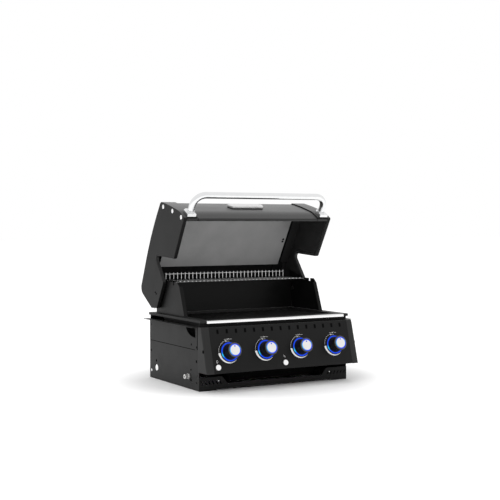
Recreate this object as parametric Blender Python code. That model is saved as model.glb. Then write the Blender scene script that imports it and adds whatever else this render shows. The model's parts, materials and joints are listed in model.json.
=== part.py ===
"""Four-burner built-in gas grill, modelled with its lid open.

Lengths are metres. X runs to the grill's right, Y to its rear and Z up. Sizes are written from the
datum: the middle of the cabinet's front face at floor level. At the end the datum empty is moved
so that the world origin lies under the middle of the whole grill, on the floor.
"""
import math

import bmesh
import bpy
from mathutils import Matrix, Vector
from mathutils.geometry import tessellate_polygon

# Gaps, sheet gauge and the number of flats on round shapes
SEAT_GAP = 0.0003
CUT_OVERRUN = 0.002
SHEET = 0.0015
ARC_TURN = math.radians(18)
ARC_CHORD = 0.022
SMALL_FLATS = 12
ROUND_FLATS = 16
BUTTON_FLATS = 20
KNOB_FLATS = 28
SMOOTH = math.radians(35)

# Cabinet
CABINET_WIDTH = 0.648
CABINET_DEPTH = 0.428
FLANGE_HEIGHT = 0.2345
SEAM_DROP = 0.0855
FLANGE_REACH = 0.028
FLOOR_LIP = 0.0195
SIDE_BEND = 0.002
SIDE_HOLE_RADIUS = 0.004
SMALL_HOLE_RADIUS = 0.0028
GAS_LINE_RADIUS = 0.0135
NOTCH_SETBACK = 0.028
NOTCH_LENGTH = 0.0765
NOTCH_DROP = 0.036
REAR_VENT_COUNT = 9
REAR_VENT_WIDTH = 0.044
REAR_VENT_HEIGHT = 0.006
REAR_VENT_PITCH = 0.060
REAR_VENT_ROWS = 3
REAR_VENT_ROW_PITCH = 0.022
REAR_VENT_DROP = 0.0185
REAR_RAIL_DEPTH = 0.017

# Base front plate
BASE_CORNER_HEIGHT = 0.050
BASE_LIP_HEIGHT = 0.0235
BASE_CORNER_WIDTH = 0.095
BASE_SLOPE_WIDTH = 0.022
BASE_FOOT_WIDTH = 0.074
BASE_FOOT_RISE = 0.005
BASE_SLOT_COUNT = 6
BASE_SLOT_PITCH = 0.0152
BASE_SLOT_WIDTH = 0.0045
BASE_SLOT_HEIGHT = 0.013
BASE_SLOT_LEAN = 0.007
BASE_SLOT_INSET = 0.0115
BASE_SLOT_DROP = 0.020

# Control panel and its moulded ends
PANEL_INSET = 0.0233
PANEL_RISE = 0.0005
PANEL_HEIGHT = 0.164
PANEL_TOP_REACH = 0.030
PANEL_OVERHANG = 0.0465
PANEL_BEND = 0.004
PANEL_RETURN = 0.030
END_OVERHANG = 0.006
END_WALL = 0.0030
END_CORNER = 0.009
END_CORNER_SHARE = 0.5
VENT_COUNT = 15
VENT_WIDTH = 0.0055
VENT_HEIGHT = 0.014
VENT_DROP = 0.0173

# Push buttons
BUTTON_DROP = 0.0540
BUTTON_RADIUS = 0.0105
BUTTON_PROUD = 0.0060
BUTTON_LENGTH = 0.0180
BUTTON_TRAVEL = 0.003
BUTTON_EDGE = 0.0012
LIGHT_BUTTON_INSET = 0.0167
IGNITER_OFFSET = 0.001
HOUSING_HEIGHT = 0.0250
IGNITER_WIDTH = 0.042
IGNITER_DEPTH = 0.031
SWITCH_WIDTH = 0.026
SWITCH_DEPTH = 0.026

# Knobs and valves
BURNER_COUNT = 4
KNOB_MARGIN = 0.0716
KNOB_DROP = 0.0898
BEZEL_RADIUS = 0.0378
BEZEL_HEIGHT = 0.0042
BEZEL_CHANNEL_OUTER = 0.0355
BEZEL_CHANNEL_INNER = 0.0225
BEZEL_CHANNEL_DEPTH = 0.0012
KNOB_RADIUS = 0.0272
KNOB_FACE_RADIUS = 0.0245
KNOB_FACE_RECESS = 0.0010
KNOB_SKIRT_GAP = 0.0073
KNOB_HUB_GAP = 0.0053
KNOB_LENGTH = 0.034
KNOB_CROWN = 0.0085
KNOB_HUB_RADIUS = 0.0120
KNOB_EDGE = 0.0022
KNOB_TRAVEL = 0.004
STEM_RADIUS = 0.0040
STEM_HOLE_RADIUS = 0.0075
STEM_EDGE = 0.001
VALVE_RADIUS = 0.0130
VALVE_DEPTH = 0.0300
VALVE_FLOOR = 0.0030
NOZZLE_RADIUS = 0.0040
NOZZLE_REACH = 0.010

# Gas rail and inlet
MANIFOLD_SIZE = 0.018
MANIFOLD_BEND = 0.004
MANIFOLD_SETBACK = 0.013
MANIFOLD_DROP = 0.049
MANIFOLD_OVERRUN = 0.023
INLET_PIPE_RADIUS = 0.0055
INLET_PIPE_BEND = 0.014
INLET_PIPE_INSET = 0.033
INLET_Y = 0.0815
INLET_Z_SHARE = 0.199
INLET_RADIUS = 0.0085
INLET_BORE_RADIUS = 0.0042
INLET_HEX_RADIUS = 0.0110
INLET_HEX_HEIGHT = 0.0055
INLET_PROUD = 0.0190

# Firebox: the cast tub, its rim, its ledges, the tamers and the grates
RIM_SIDE_OVERHANG = 0.001
RIM_FRONT = 0.010
RIM_REAR_OVERHANG = 0.008
RIM_RISE = 0.0235
RIM_LIP = 0.010
RIM_GAUGE = 0.003
MOUTH_SIDE_BORDER = 0.040
MOUTH_FRONT_BORDER = 0.034
MOUTH_REAR_BORDER = 0.0595
TUB_WALL = 0.0035
GRATE_LEDGE = 0.004
GRATE_LEDGE_DROP = 0.0245
TAMER_LEDGE = 0.007
TAMER_LEDGE_DROP = 0.0475
BURNER_DROP = 0.028
TUB_KNEE_DROP = 0.030
TUB_TAPER = 0.010
FUNNEL_DROP = 0.033
OUTLET_HALF = 0.030
OUTLET_NECK = 0.014
BURNER_RADIUS = 0.0125
VENTURI_RADIUS = 0.0100
VENTURI_REACH = 0.0125
BURNER_NECK = 0.0295
GRATE_BAR_COUNT = 13
GRATE_BAR = 0.0092
GRATE_BAR_HEIGHT = 0.009
GRATE_RIDGE_HEIGHT = 0.0072
GRATE_MEMBER_COUNT = 3
GRATE_MEMBER = 0.009
GRATE_MEMBER_INSET = 0.002
GRATE_MEMBER_STEP = 0.001
TAMER_RISE = 0.024
TAMER_FOLDS = 4
SPLIT_GAP = 0.0005
FRONT_RAIL_HEIGHT = 0.0497
FRONT_RAIL_DEPTH = 0.019
TRIM_INSET = 0.024
TRIM_HEIGHT = 0.0130
TRIM_DEPTH = 0.0055
TRIM_ROUND = 0.0044
TRIM_DROP = 0.0005

# Raised firebox sides and rear wall
CHEEK_INSET = 0.015
CHEEK_REAR_BORDER = 0.041
CHEEK_DEPTH = 0.247
CHEEK_HEIGHT = 0.157
CHEEK_GAUGE = 0.002
CHEEK_FLANGE = 0.013
SPIT_NOTCH_WIDTH = 0.011
SPIT_NOTCH_DEPTH = 0.012
RACK_TAB = 0.010
RACK_TAB_REACH = 0.026
BACK_INSET = 0.016
BACK_LEAN = 0.0085
BACK_HEIGHT = 0.120

# Warming rack
RACK_SIDE_GAP = 0.017
RACK_FENCE_INSET = 0.019
RACK_DEPTH = 0.130
RACK_DROP = 0.002
RACK_FENCE_HEIGHT = 0.032
RACK_WIRE = 0.003
RACK_RAIL = 0.005
RACK_TIP_ROD = 0.003
RACK_TIP_ROD_DROP = 0.007
RACK_RAIL_FLATS = 8
RACK_WIRE_COUNT = 33

# Grease tray and runners
TRAY_SIDE_GAP = 0.009
TRAY_FRONT = 0.0300
TRAY_REAR_GAP = 0.068
TRAY_HEIGHT = 0.0280
TRAY_TAPER = 0.008
TRAY_GRIP = 0.012
RUNNER_LEDGE = 0.022
RUNNER_WALL = 0.024
RUNNER_PLAY = 0.0008

# Lid, drawn closed and then turned open about its pivot
PIVOT_REAR_BORDER = 0.069
PIVOT_RISE = 0.080
LID_OPEN = math.radians(59)
LID_FRONT_OVERHANG = 0.031
LID_REAR_OVERHANG = 0.0045
LID_CLEARANCE = 0.011
LID_HEIGHT = 0.2265
LID_SIDE_GAP = 0.0033
CAP_WIDTH = 0.0137
CAP_SKIN = 0.0035
CAP_RIM = 0.010
CAP_PROUD = 0.004
CAP_WRAP = 0.059
CAP_WRAP_START_SHARE = 0.12
SHELL_LIP_LEVEL = 0.0025
SHELL_LIP_WIDTH = 0.0100
SHELL_LIP_RADIUS = 0.004
LINER_SIDE_GAP = 0.036
LINER_DROP = 0.0415
LINER_BEND_RADIUS = 0.030
SHELF_LAP = 0.007
SHELF_END = 0.010
PIN_RADIUS = 0.0040
PIN_HEAD_RADIUS = 0.0080
PIN_HEAD = 0.0050
PIN_BOSS_RADIUS = 0.0120

# Lid handle and badge plate
HANDLE_RADIUS = 0.0125
HANDLE_INSET = 0.036
HANDLE_RISE_SHARE = 0.1413
HANDLE_REACH = 0.0540
HANDLE_BEND = 0.046
FOOT_COLLAR_RADIUS = 0.0150
FOOT_COLLAR_REACH = 0.0055
FOOT_WIDTH = 0.036
FOOT_HEIGHT = 0.048
FOOT_CHAMFER = 0.010
FOOT_THICKNESS = 0.011
FOOT_OFFSET = 0.0035
BADGE_WIDTH = 0.158
BADGE_HEIGHT = 0.042
BADGE_THICKNESS = 0.012
BADGE_RISE_SHARE = 0.548
BADGE_WING = 0.020

# Places that follow from the sizes above: widths are half widths from the middle
SIDE_OUTER = CABINET_WIDTH / 2
SIDE_INNER = SIDE_OUTER - SHEET
FRONT_OF_SIDES = SHEET + SEAT_GAP
SEAM_HEIGHT = FLANGE_HEIGHT - SEAM_DROP
RIM_HALF = SIDE_OUTER + RIM_SIDE_OVERHANG
RIM_REAR = CABINET_DEPTH + RIM_REAR_OVERHANG
RIM_TOP = FLANGE_HEIGHT + RIM_RISE
MOUTH_HALF = RIM_HALF - MOUTH_SIDE_BORDER
MOUTH_FRONT = MOUTH_FRONT_BORDER - RIM_FRONT
MOUTH_REAR = RIM_REAR - MOUTH_REAR_BORDER
GRATE_LEDGE_LEVEL = RIM_TOP - GRATE_LEDGE_DROP
TAMER_LEDGE_LEVEL = GRATE_LEDGE_LEVEL - TAMER_LEDGE_DROP
BURNER_LEVEL = TAMER_LEDGE_LEVEL - BURNER_DROP
TUB_KNEE_LEVEL = BURNER_LEVEL - TUB_KNEE_DROP
OUTLET_LEVEL = TUB_KNEE_LEVEL - FUNNEL_DROP
OUTLET_Y = (MOUTH_FRONT + MOUTH_REAR) / 2
VENTURI_FRONT = MOUTH_FRONT - TUB_WALL - VENTURI_REACH
CHEEK_OUTER = RIM_HALF - CHEEK_INSET
CHEEK_INNER = CHEEK_OUTER - CHEEK_GAUGE
CHEEK_REAR = RIM_REAR - CHEEK_REAR_BORDER
CHEEK_FRONT = CHEEK_REAR - CHEEK_DEPTH
BACK_FOOT_Y = CHEEK_REAR - BACK_INSET
BACK_TOP_Y = BACK_FOOT_Y + BACK_LEAN
PANEL_HALF = SIDE_OUTER - PANEL_INSET
PANEL_TOP = FLANGE_HEIGHT + PANEL_RISE
PANEL_BOTTOM = PANEL_TOP - PANEL_HEIGHT
PANEL_BOTTOM_REACH = PANEL_TOP_REACH + PANEL_OVERHANG
PANEL_TILT = math.atan2(PANEL_OVERHANG, PANEL_HEIGHT)
PANEL_TURN = math.pi / 2 - PANEL_TILT
KNOB_HEIGHT = PANEL_TOP - KNOB_DROP
KNOB_Y = -PANEL_TOP_REACH - KNOB_DROP * math.tan(PANEL_TILT)
KNOB_PITCH = 2 * (PANEL_HALF - KNOB_MARGIN) / (BURNER_COUNT - 1)
KNOB_XS = [(number - (BURNER_COUNT - 1) / 2) * KNOB_PITCH for number in range(BURNER_COUNT)]
VENT_LEVEL = KNOB_DROP / math.cos(PANEL_TILT) - VENT_DROP
KNOB_SKIRT_LEVEL = BEZEL_HEIGHT + KNOB_SKIRT_GAP
KNOB_HUB_LEVEL = BEZEL_HEIGHT + KNOB_HUB_GAP
KNOB_TIP_LEVEL = KNOB_SKIRT_LEVEL + KNOB_LENGTH
KNOB_BORE_LEVEL = KNOB_TIP_LEVEL - KNOB_CROWN
STEM_TIP_LEVEL = KNOB_BORE_LEVEL - KNOB_TRAVEL - CUT_OVERRUN
VALVE_BORE_DEPTH = VALVE_DEPTH - VALVE_FLOOR
VALVE_REAR = KNOB_Y + VALVE_DEPTH * math.cos(PANEL_TILT)
MANIFOLD_Y = -MANIFOLD_SETBACK
MANIFOLD_Z = BURNER_LEVEL - MANIFOLD_DROP
INLET_Z = FLANGE_HEIGHT * INLET_Z_SHARE
TRAY_HALF = SIDE_OUTER - BASE_CORNER_WIDTH - BASE_SLOPE_WIDTH - TRAY_SIDE_GAP
TRAY_REAR = CABINET_DEPTH - TRAY_REAR_GAP
TRAY_LEVEL = BASE_LIP_HEIGHT + SHEET + 2 * SEAT_GAP
RUNNER_LEVEL = TRAY_LEVEL - SEAT_GAP
RUNNER_INNER = TRAY_HALF + RUNNER_PLAY
PIVOT_Y = RIM_REAR - PIVOT_REAR_BORDER
PIVOT_Z = RIM_TOP + PIVOT_RISE
LID_FRONT = RIM_FRONT + LID_FRONT_OVERHANG
LID_DEPTH = LID_FRONT + RIM_REAR + LID_REAR_OVERHANG
LID_BOTTOM = RIM_TOP + LID_CLEARANCE
CAP_INNER = CHEEK_OUTER + LID_SIDE_GAP
CAP_OUTER = CAP_INNER + CAP_WIDTH
LINER_HALF = CAP_INNER - LINER_SIDE_GAP
LINER_LEVEL = LID_BOTTOM + LID_HEIGHT - LINER_DROP
HANDLE_LEG_X = CAP_OUTER - HANDLE_INSET
HANDLE_Z = LID_BOTTOM + LID_HEIGHT * HANDLE_RISE_SHARE
HANDLE_BAR_Y = LID_FRONT + HANDLE_REACH
BADGE_Z = LID_BOTTOM + LID_HEIGHT * BADGE_RISE_SHARE

# Lid side outline, front bottom corner first: shares of depth and height, and how much of the
# shorter run beside the corner its rounding takes
LID_CORNER_SHARES = (
    (0.056, 0.010, 0.100),
    (0.056, 0.236, 0.450),
    (0.112, 0.643, 0.450),
    (0.162, 0.936, 0.145),
    (0.480, 1.000, 0.826),
    (1.000, 0.868, 0.212),
    (1.000, 0.316, 0.043),
    (0.943, 0.137, 0.086),
    (0.695, 0.137, 0.065),
    (0.596, 0.687, 0.232),
    (0.427, 0.000, 0.034),
)
LID_SHELL_CORNERS = 7

# Lid liner: shares of the lid's depth, and of its height for the front edge
LINER_FRONT_SHARES = (0.0935, 0.159)
LINER_BEND_SHARE = 0.214
LINER_REAR_SHARE = 0.753
SHELF_FRONT_SHARE = 0.283

# Raised firebox side from its rear top: shares of its depth and height
CHEEK_STEP_SHARES = (0.534, 0.815)
CHEEK_BROW_SHARES = (0.253, 0.815)
CHEEK_SHOULDER_SHARES = (0.176, 0.713)
SPIT_NOTCH_SHARE = 0.3765

# Holes in each cabinet side: shares of the cabinet's depth and of the flange height, and size
SIDE_HOLE_SHARES = (
    (0.857, 0.311, SIDE_HOLE_RADIUS),
    (0.974, 0.465, SMALL_HOLE_RADIUS),
    (0.046, 0.465, SIDE_HOLE_RADIUS),
    (0.152, 0.307, SMALL_HOLE_RADIUS),
    (0.152, 0.120, SMALL_HOLE_RADIUS),
    (0.048, 0.130, SMALL_HOLE_RADIUS),
    (0.967, 0.130, SMALL_HOLE_RADIUS),
    (0.854, 0.188, GAS_LINE_RADIUS),
)
UPPER_HOLE_SHARES = (
    (0.143, 0.708, SMALL_HOLE_RADIUS),
    (0.967, 0.900, SMALL_HOLE_RADIUS),
)


def clear_scene():
    for old in list(bpy.data.objects):
        bpy.data.objects.remove(old, do_unlink=True)


def paint(name, colour, metallic, roughness):
    """A Principled material."""
    made = bpy.data.materials.new(name)
    made.use_nodes = True
    shader = made.node_tree.nodes["Principled BSDF"]
    shader.inputs["Base Color"].default_value = (*colour, 1.0)
    shader.inputs["Metallic"].default_value = metallic
    shader.inputs["Roughness"].default_value = roughness
    made.diffuse_color = (*colour, 1.0)
    return made


def datum_empty(name, location, parent=None, turn=0.0):
    """An empty that carries a group of pieces; turn is about X."""
    empty = bpy.data.objects.new(name, None)
    empty.location = location
    empty.rotation_euler.x = turn
    empty.parent = parent
    bpy.context.collection.objects.link(empty)
    return empty


def piece(name, shape, finish, parent, location=(0.0, 0.0, 0.0), turn=0.0, smooth=None):
    """Turn a bmesh into a named object; smooth is the angle past which an edge stays sharp."""
    bmesh.ops.recalc_face_normals(shape, faces=shape.faces)
    mesh = bpy.data.meshes.new(name)
    shape.to_mesh(mesh)
    shape.free()
    if smooth is not None:
        mesh.shade_smooth()
        mesh.set_sharp_from_angle(angle=smooth)
    mesh.materials.append(finish)
    made = bpy.data.objects.new(name, mesh)
    made.location = location
    made.rotation_euler.x = turn
    made.parent = parent
    bpy.context.collection.objects.link(made)
    return made



def plate(outline, low, high, axis, holes=()):
    """A flat outline, with holes, given a thickness from low to high along an axis."""
    through = "XYZ".index(axis)
    across, up = (k for k in range(3) if k != through)
    loops = [outline, *holes]
    triangles = tessellate_polygon([[Vector((a, b, 0.0)) for a, b in loop] for loop in loops])
    shape = bmesh.new()
    layers = []
    for level in (low, high):
        layer = []
        for a, b in (point for loop in loops for point in loop):
            spot = [0.0, 0.0, 0.0]
            spot[across] = a
            spot[up] = b
            spot[through] = level
            layer.append(shape.verts.new(spot))
        layers.append(layer)
    for layer in layers:
        for corners in triangles:
            shape.faces.new([layer[index] for index in corners])
    start = 0
    for loop in loops:
        count = len(loop)
        for index in range(count):
            here = start + index
            after = start + (index + 1) % count
            shape.faces.new((layers[0][here], layers[0][after], layers[1][after], layers[1][here]))
        start += count
    return shape


def block(low, high):
    """A box between two corners."""
    outline = [(low[0], low[1]), (high[0], low[1]), (high[0], high[1]), (low[0], high[1])]
    return plate(outline, low[2], high[2], "Z")


def circle(centre, radius, count, turn=0.0):
    """Points round a circle in a plane."""
    step = 2 * math.pi / count
    return [
        (centre[0] + radius * math.cos(turn + step * k), centre[1] + radius * math.sin(turn + step * k))
        for k in range(count)
    ]


def rod(centre, radius, low, high, axis, count=ROUND_FLATS):
    """A straight round rod along an axis."""
    return plate(circle(centre, radius, count), low, high, axis)


def rounded(corners, closed=True):
    """Fillet each corner (a, b, radius) of an outline into an arc."""
    points = []
    count = len(corners)
    for index, (a, b, radius) in enumerate(corners):
        if radius <= 0 or (not closed and index in (0, count - 1)):
            points.append((a, b))
            continue
        here = Vector((a, b))
        before = (Vector(corners[index - 1][:2]) - here).normalized()
        after = (Vector(corners[(index + 1) % count][:2]) - here).normalized()
        inside = before.angle(after)
        turn = math.pi - inside
        centre = here + (before + after).normalized() * (radius / math.sin(inside / 2))
        spoke = here + before * (radius / math.tan(inside / 2)) - centre
        sign = -1 if before.x * after.y - before.y * after.x > 0 else 1
        steps = max(1, math.ceil(turn / ARC_TURN), math.ceil(radius * turn / ARC_CHORD))
        for k in range(steps + 1):
            arm = Matrix.Rotation(sign * turn * k / steps, 2) @ spoke
            points.append(tuple(centre + arm))
    return points


def offset_corners(corners, distance, closed=False):
    """Move an outline's corners sideways, to the right of its run, and match their radii."""
    moved = []
    count = len(corners)
    for index, (a, b, radius) in enumerate(corners):
        here = Vector((a, b))
        first = not closed and index == 0
        last = not closed and index == count - 1
        run_in = here - Vector(corners[index - 1][:2]) if not first else None
        run_out = Vector(corners[(index + 1) % count][:2]) - here if not last else None
        sides = [Vector((run.y, -run.x)).normalized() for run in (run_in, run_out) if run]
        middle = sum(sides, Vector((0.0, 0.0))).normalized()
        spot = here + middle * (distance / middle.dot(sides[0]))
        bend = 0.0
        if run_in and run_out:
            bend = run_in.x * run_out.y - run_in.y * run_out.x
        change = distance if bend > 0 else -distance
        moved.append((spot.x, spot.y, max(0.0, radius + change) if radius else 0.0))
    return moved


def folded_sheet(corners, gauge, low, high, axis):
    """A bent sheet: corners run along one face, and the gauge lies to the right of the run."""
    outside = rounded(corners, closed=False)
    inside = rounded(offset_corners(corners, gauge), closed=False)
    return plate(outside + inside[::-1], low, high, axis)


def turned(profile, count, ring=False):
    """A profile of (radius, height) turned about Z; a ring joins its last point to its first."""
    shape = bmesh.new()
    rows = []
    for radius, height in profile:
        if radius == 0:
            rows.append([shape.verts.new((0.0, 0.0, height))])
        else:
            rows.append([shape.verts.new((a, b, height)) for a, b in circle((0.0, 0.0), radius, count)])
    pairs = list(zip(rows, rows[1:] + rows[:1])) if ring else list(zip(rows, rows[1:]))
    for lower, upper in pairs:
        for k in range(count):
            after = (k + 1) % count
            if len(lower) == 1:
                shape.faces.new((lower[0], upper[k], upper[after]))
            elif len(upper) == 1:
                shape.faces.new((lower[k], lower[after], upper[0]))
            else:
                shape.faces.new((lower[k], lower[after], upper[after], upper[k]))
    return shape


def tube(points, radius, count):
    """A round bar swept along points, with flat ends."""
    spots = [Vector(point) for point in points]
    shape = bmesh.new()
    rows = []
    side = None
    for index, spot in enumerate(spots):
        back = spots[max(index - 1, 0)]
        ahead = spots[min(index + 1, len(spots) - 1)]
        run_in = (spot - back).normalized() if index else (ahead - spot).normalized()
        run_out = (ahead - spot).normalized() if index < len(spots) - 1 else run_in
        run = (run_in + run_out).normalized()
        if side is None:
            side = run.orthogonal().normalized()
        side = (side - run * side.dot(run)).normalized()
        other = run.cross(side)
        stretch = 1 / run.dot(run_in)
        row = []
        for a, b in circle((0.0, 0.0), radius, count):
            arm = side * a + other * b
            bend = run_out - run_in
            if bend.length > 0:
                bend.normalize()
                arm += bend * arm.dot(bend) * (stretch - 1)
            row.append(shape.verts.new(spot + arm))
        rows.append(row)
    for lower, upper in zip(rows, rows[1:]):
        for k in range(count):
            after = (k + 1) % count
            shape.faces.new((lower[k], lower[after], upper[after], upper[k]))
    shape.faces.new(rows[0])
    shape.faces.new(rows[-1])
    return shape


def bent_path(points, radius):
    """A path through points with each inner corner rounded."""
    spots = [Vector(point) for point in points]
    path = [spots[0]]
    for back, here, ahead in zip(spots, spots[1:], spots[2:]):
        before = (back - here).normalized()
        after = (ahead - here).normalized()
        inside = before.angle(after)
        turn = math.pi - inside
        centre = here + (before + after).normalized() * (radius / math.sin(inside / 2))
        spoke = here + before * (radius / math.tan(inside / 2)) - centre
        steps = math.ceil(turn / ARC_TURN)
        axis = before.cross(after).normalized()
        for k in range(steps + 1):
            path.append(centre + Matrix.Rotation(-turn * k / steps, 3, axis) @ spoke)
    path.append(spots[-1])
    return path


def loft_rectangles(rings):
    """A wall through rectangles (half width, front, rear, level), the last joined to the first."""
    shape = bmesh.new()
    rows = []
    for half, front, rear, level in rings:
        spots = ((-half, front), (half, front), (half, rear), (-half, rear))
        rows.append([shape.verts.new((x, y, level)) for x, y in spots])
    for lower, upper in zip(rows, rows[1:] + rows[:1]):
        for k in range(4):
            after = (k + 1) % 4
            shape.faces.new((lower[k], lower[after], upper[after], upper[k]))
    return shape


def mirrored(shape):
    """The same shape on the grill's other side."""
    bmesh.ops.scale(shape, vec=(-1.0, 1.0, 1.0), verts=shape.verts)
    bmesh.ops.recalc_face_normals(shape, faces=shape.faces)
    return shape


def tilted(shape, x, height):
    """Stand a shape drawn flat on the control panel's face, at a distance up the face from a knob."""
    stand = Matrix.Translation((x, KNOB_Y, KNOB_HEIGHT)) @ Matrix.Rotation(PANEL_TURN, 4, "X")
    bmesh.ops.transform(shape, matrix=stand @ Matrix.Translation((0.0, height, 0.0)), verts=shape.verts)
    return shape


def passing_object(name, shape):
    """A short-lived object for a Boolean."""
    bmesh.ops.recalc_face_normals(shape, faces=shape.faces)
    mesh = bpy.data.meshes.new(name)
    shape.to_mesh(mesh)
    shape.free()
    made = bpy.data.objects.new(name, mesh)
    bpy.context.collection.objects.link(made)
    return made


def boolean(shape, tools, operation):
    """The shape united with, or cut by, each of the tools in turn."""
    body = passing_object("passing_body", shape)
    others = [passing_object("passing_tool", tool) for tool in tools]
    for other in others:
        modifier = body.modifiers.new(operation.lower(), "BOOLEAN")
        modifier.operation = operation
        modifier.object = other
    graph = bpy.context.evaluated_depsgraph_get()
    mesh = bpy.data.meshes.new_from_object(body.evaluated_get(graph), depsgraph=graph)
    result = bmesh.new()
    result.from_mesh(mesh)
    for used in (body, *others):
        spent = used.data
        bpy.data.objects.remove(used, do_unlink=True)
        bpy.data.meshes.remove(spent)
    bpy.data.meshes.remove(mesh)
    return result


def unite(shape, *tools):
    return boolean(shape, tools, "UNION")


def carve(shape, *tools):
    return boolean(shape, tools, "DIFFERENCE")


def gathered(shapes):
    """Several shapes that don't touch, as one cutter."""
    whole = bmesh.new()
    for shape in shapes:
        mesh = bpy.data.meshes.new("passing_part")
        bmesh.ops.recalc_face_normals(shape, faces=shape.faces)
        shape.to_mesh(mesh)
        shape.free()
        whole.from_mesh(mesh)
        bpy.data.meshes.remove(mesh)
    return whole


def side_holes(shares, extra=()):
    """Punches through a cabinet side, at shares of its depth and height."""
    spots = [(CABINET_DEPTH * y, FLANGE_HEIGHT * z, radius) for y, z, radius in shares]
    return gathered(
        rod((y, z), radius, SIDE_INNER - CUT_OVERRUN, SIDE_OUTER + CUT_OVERRUN, "X", SMALL_FLATS)
        for y, z, radius in [*spots, *extra]
    )


def lower_side_panel(extra=()):
    run = [
        (SIDE_OUTER, SEAM_HEIGHT, 0.0),
        (SIDE_OUTER, 0.0, SIDE_BEND),
        (SIDE_OUTER - FLOOR_LIP, 0.0, 0.0),
    ]
    sheet = folded_sheet(run, SHEET, FRONT_OF_SIDES, CABINET_DEPTH, "Y")
    return carve(sheet, side_holes(SIDE_HOLE_SHARES, extra))


def upper_side_panel():
    run = [
        (SIDE_OUTER, SEAM_HEIGHT + SEAT_GAP, 0.0),
        (SIDE_OUTER, FLANGE_HEIGHT - SHEET, SIDE_BEND),
        (SIDE_OUTER + FLANGE_REACH, FLANGE_HEIGHT - SHEET, 0.0),
    ]
    sheet = folded_sheet(offset_corners(run, -SHEET), SHEET, FRONT_OF_SIDES, CABINET_DEPTH, "Y")
    notch_top = FLANGE_HEIGHT - SHEET - SIDE_BEND - SHEET
    steps = 6
    curve = [
        (
            NOTCH_SETBACK + FRONT_OF_SIDES + NOTCH_LENGTH * math.cos(k * math.pi / 2 / steps),
            notch_top - NOTCH_DROP * math.sin(k * math.pi / 2 / steps),
        )
        for k in range(steps + 1)
    ]
    corner = (NOTCH_SETBACK + FRONT_OF_SIDES, notch_top)
    notch = plate([*curve, corner], SIDE_INNER - CUT_OVERRUN, SIDE_OUTER + CUT_OVERRUN, "X")
    return carve(sheet, notch, side_holes(UPPER_HOLE_SHARES))


def base_front_plate():
    """The plate across the bottom front: tall corners, a low lip between them, and slanted slots."""
    corner = SIDE_OUTER - BASE_CORNER_WIDTH
    lip = corner - BASE_SLOPE_WIDTH
    foot = SIDE_OUTER - BASE_FOOT_WIDTH
    half = [
        (foot, BASE_FOOT_RISE),
        (foot, 0.0),
        (SIDE_OUTER, 0.0),
        (SIDE_OUTER, BASE_CORNER_HEIGHT),
        (corner, BASE_CORNER_HEIGHT),
        (lip, BASE_LIP_HEIGHT),
    ]
    outline = half + [(-x, z) for x, z in half[::-1]]
    slots = []
    for number in range(BASE_SLOT_COUNT):
        x = SIDE_OUTER - BASE_SLOT_INSET - number * BASE_SLOT_PITCH
        low = BASE_CORNER_HEIGHT - BASE_SLOT_DROP - BASE_SLOT_HEIGHT / 2
        high = low + BASE_SLOT_HEIGHT
        lean = BASE_SLOT_LEAN / 2
        half_width = BASE_SLOT_WIDTH / 2
        slot = [
            (x - lean - half_width, low),
            (x - lean + half_width, low),
            (x + lean + half_width, high),
            (x + lean - half_width, high),
        ]
        slots += [slot, [(-a, b) for a, b in slot]]
    return plate(outline, 0.0, SHEET, "Y", slots)


def rear_panel():
    """The back sheet: rows of cooling slots, and notches that the tray runners pass through."""
    width = min(SIDE_INNER, RIM_HALF - RIM_GAUGE) - SEAT_GAP
    bottom = BASE_LIP_HEIGHT + SEAT_GAP
    inner = RUNNER_INNER - SEAT_GAP
    outer = RUNNER_INNER + SHEET + SEAT_GAP
    low = RUNNER_LEVEL + SEAT_GAP
    high = RUNNER_LEVEL + RUNNER_WALL + SEAT_GAP
    half = [
        (inner - RUNNER_LEDGE, bottom),
        (inner - RUNNER_LEDGE, low),
        (inner, low),
        (inner, high),
        (outer, high),
        (outer, bottom),
        (width, bottom),
        (width, RIM_TOP - RIM_GAUGE - SEAT_GAP),
    ]
    outline = half + [(-x, z) for x, z in half[::-1]]
    slots = []
    for row in range(REAR_VENT_ROWS):
        z = FLANGE_HEIGHT - REAR_VENT_DROP - row * REAR_VENT_ROW_PITCH
        for number in range(REAR_VENT_COUNT):
            x = (number - (REAR_VENT_COUNT - 1) / 2) * REAR_VENT_PITCH
            slots.append(
                [
                    (x - REAR_VENT_WIDTH / 2, z - REAR_VENT_HEIGHT / 2),
                    (x + REAR_VENT_WIDTH / 2, z - REAR_VENT_HEIGHT / 2),
                    (x + REAR_VENT_WIDTH / 2, z + REAR_VENT_HEIGHT / 2),
                    (x - REAR_VENT_WIDTH / 2, z + REAR_VENT_HEIGHT / 2),
                ]
            )
    return plate(outline, CABINET_DEPTH - SHEET, CABINET_DEPTH, "Y", slots)


def rear_base_rail():
    """The angle across the bottom rear, which the tray runners rest on."""
    half = SIDE_OUTER - FLOOR_LIP - SEAT_GAP
    run = [
        (CABINET_DEPTH - REAR_RAIL_DEPTH, 0.0, 0.0),
        (CABINET_DEPTH, 0.0, SIDE_BEND),
        (CABINET_DEPTH, BASE_LIP_HEIGHT, 0.0),
    ]
    return folded_sheet(run[::-1], SHEET, -half, half, "X")


def front_cross_rail():
    """The channel that carries the rim's front edge and the control panel's top."""
    half = RIM_HALF - RIM_GAUGE - SEAT_GAP
    top = RIM_TOP - RIM_GAUGE - SEAT_GAP
    run = [
        (SEAT_GAP, top - FRONT_RAIL_HEIGHT, 0.0),
        (SEAT_GAP, top, SIDE_BEND),
        (SEAT_GAP + FRONT_RAIL_DEPTH, top, 0.0),
    ]
    return folded_sheet(run, SHEET, -half, half, "X")


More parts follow.
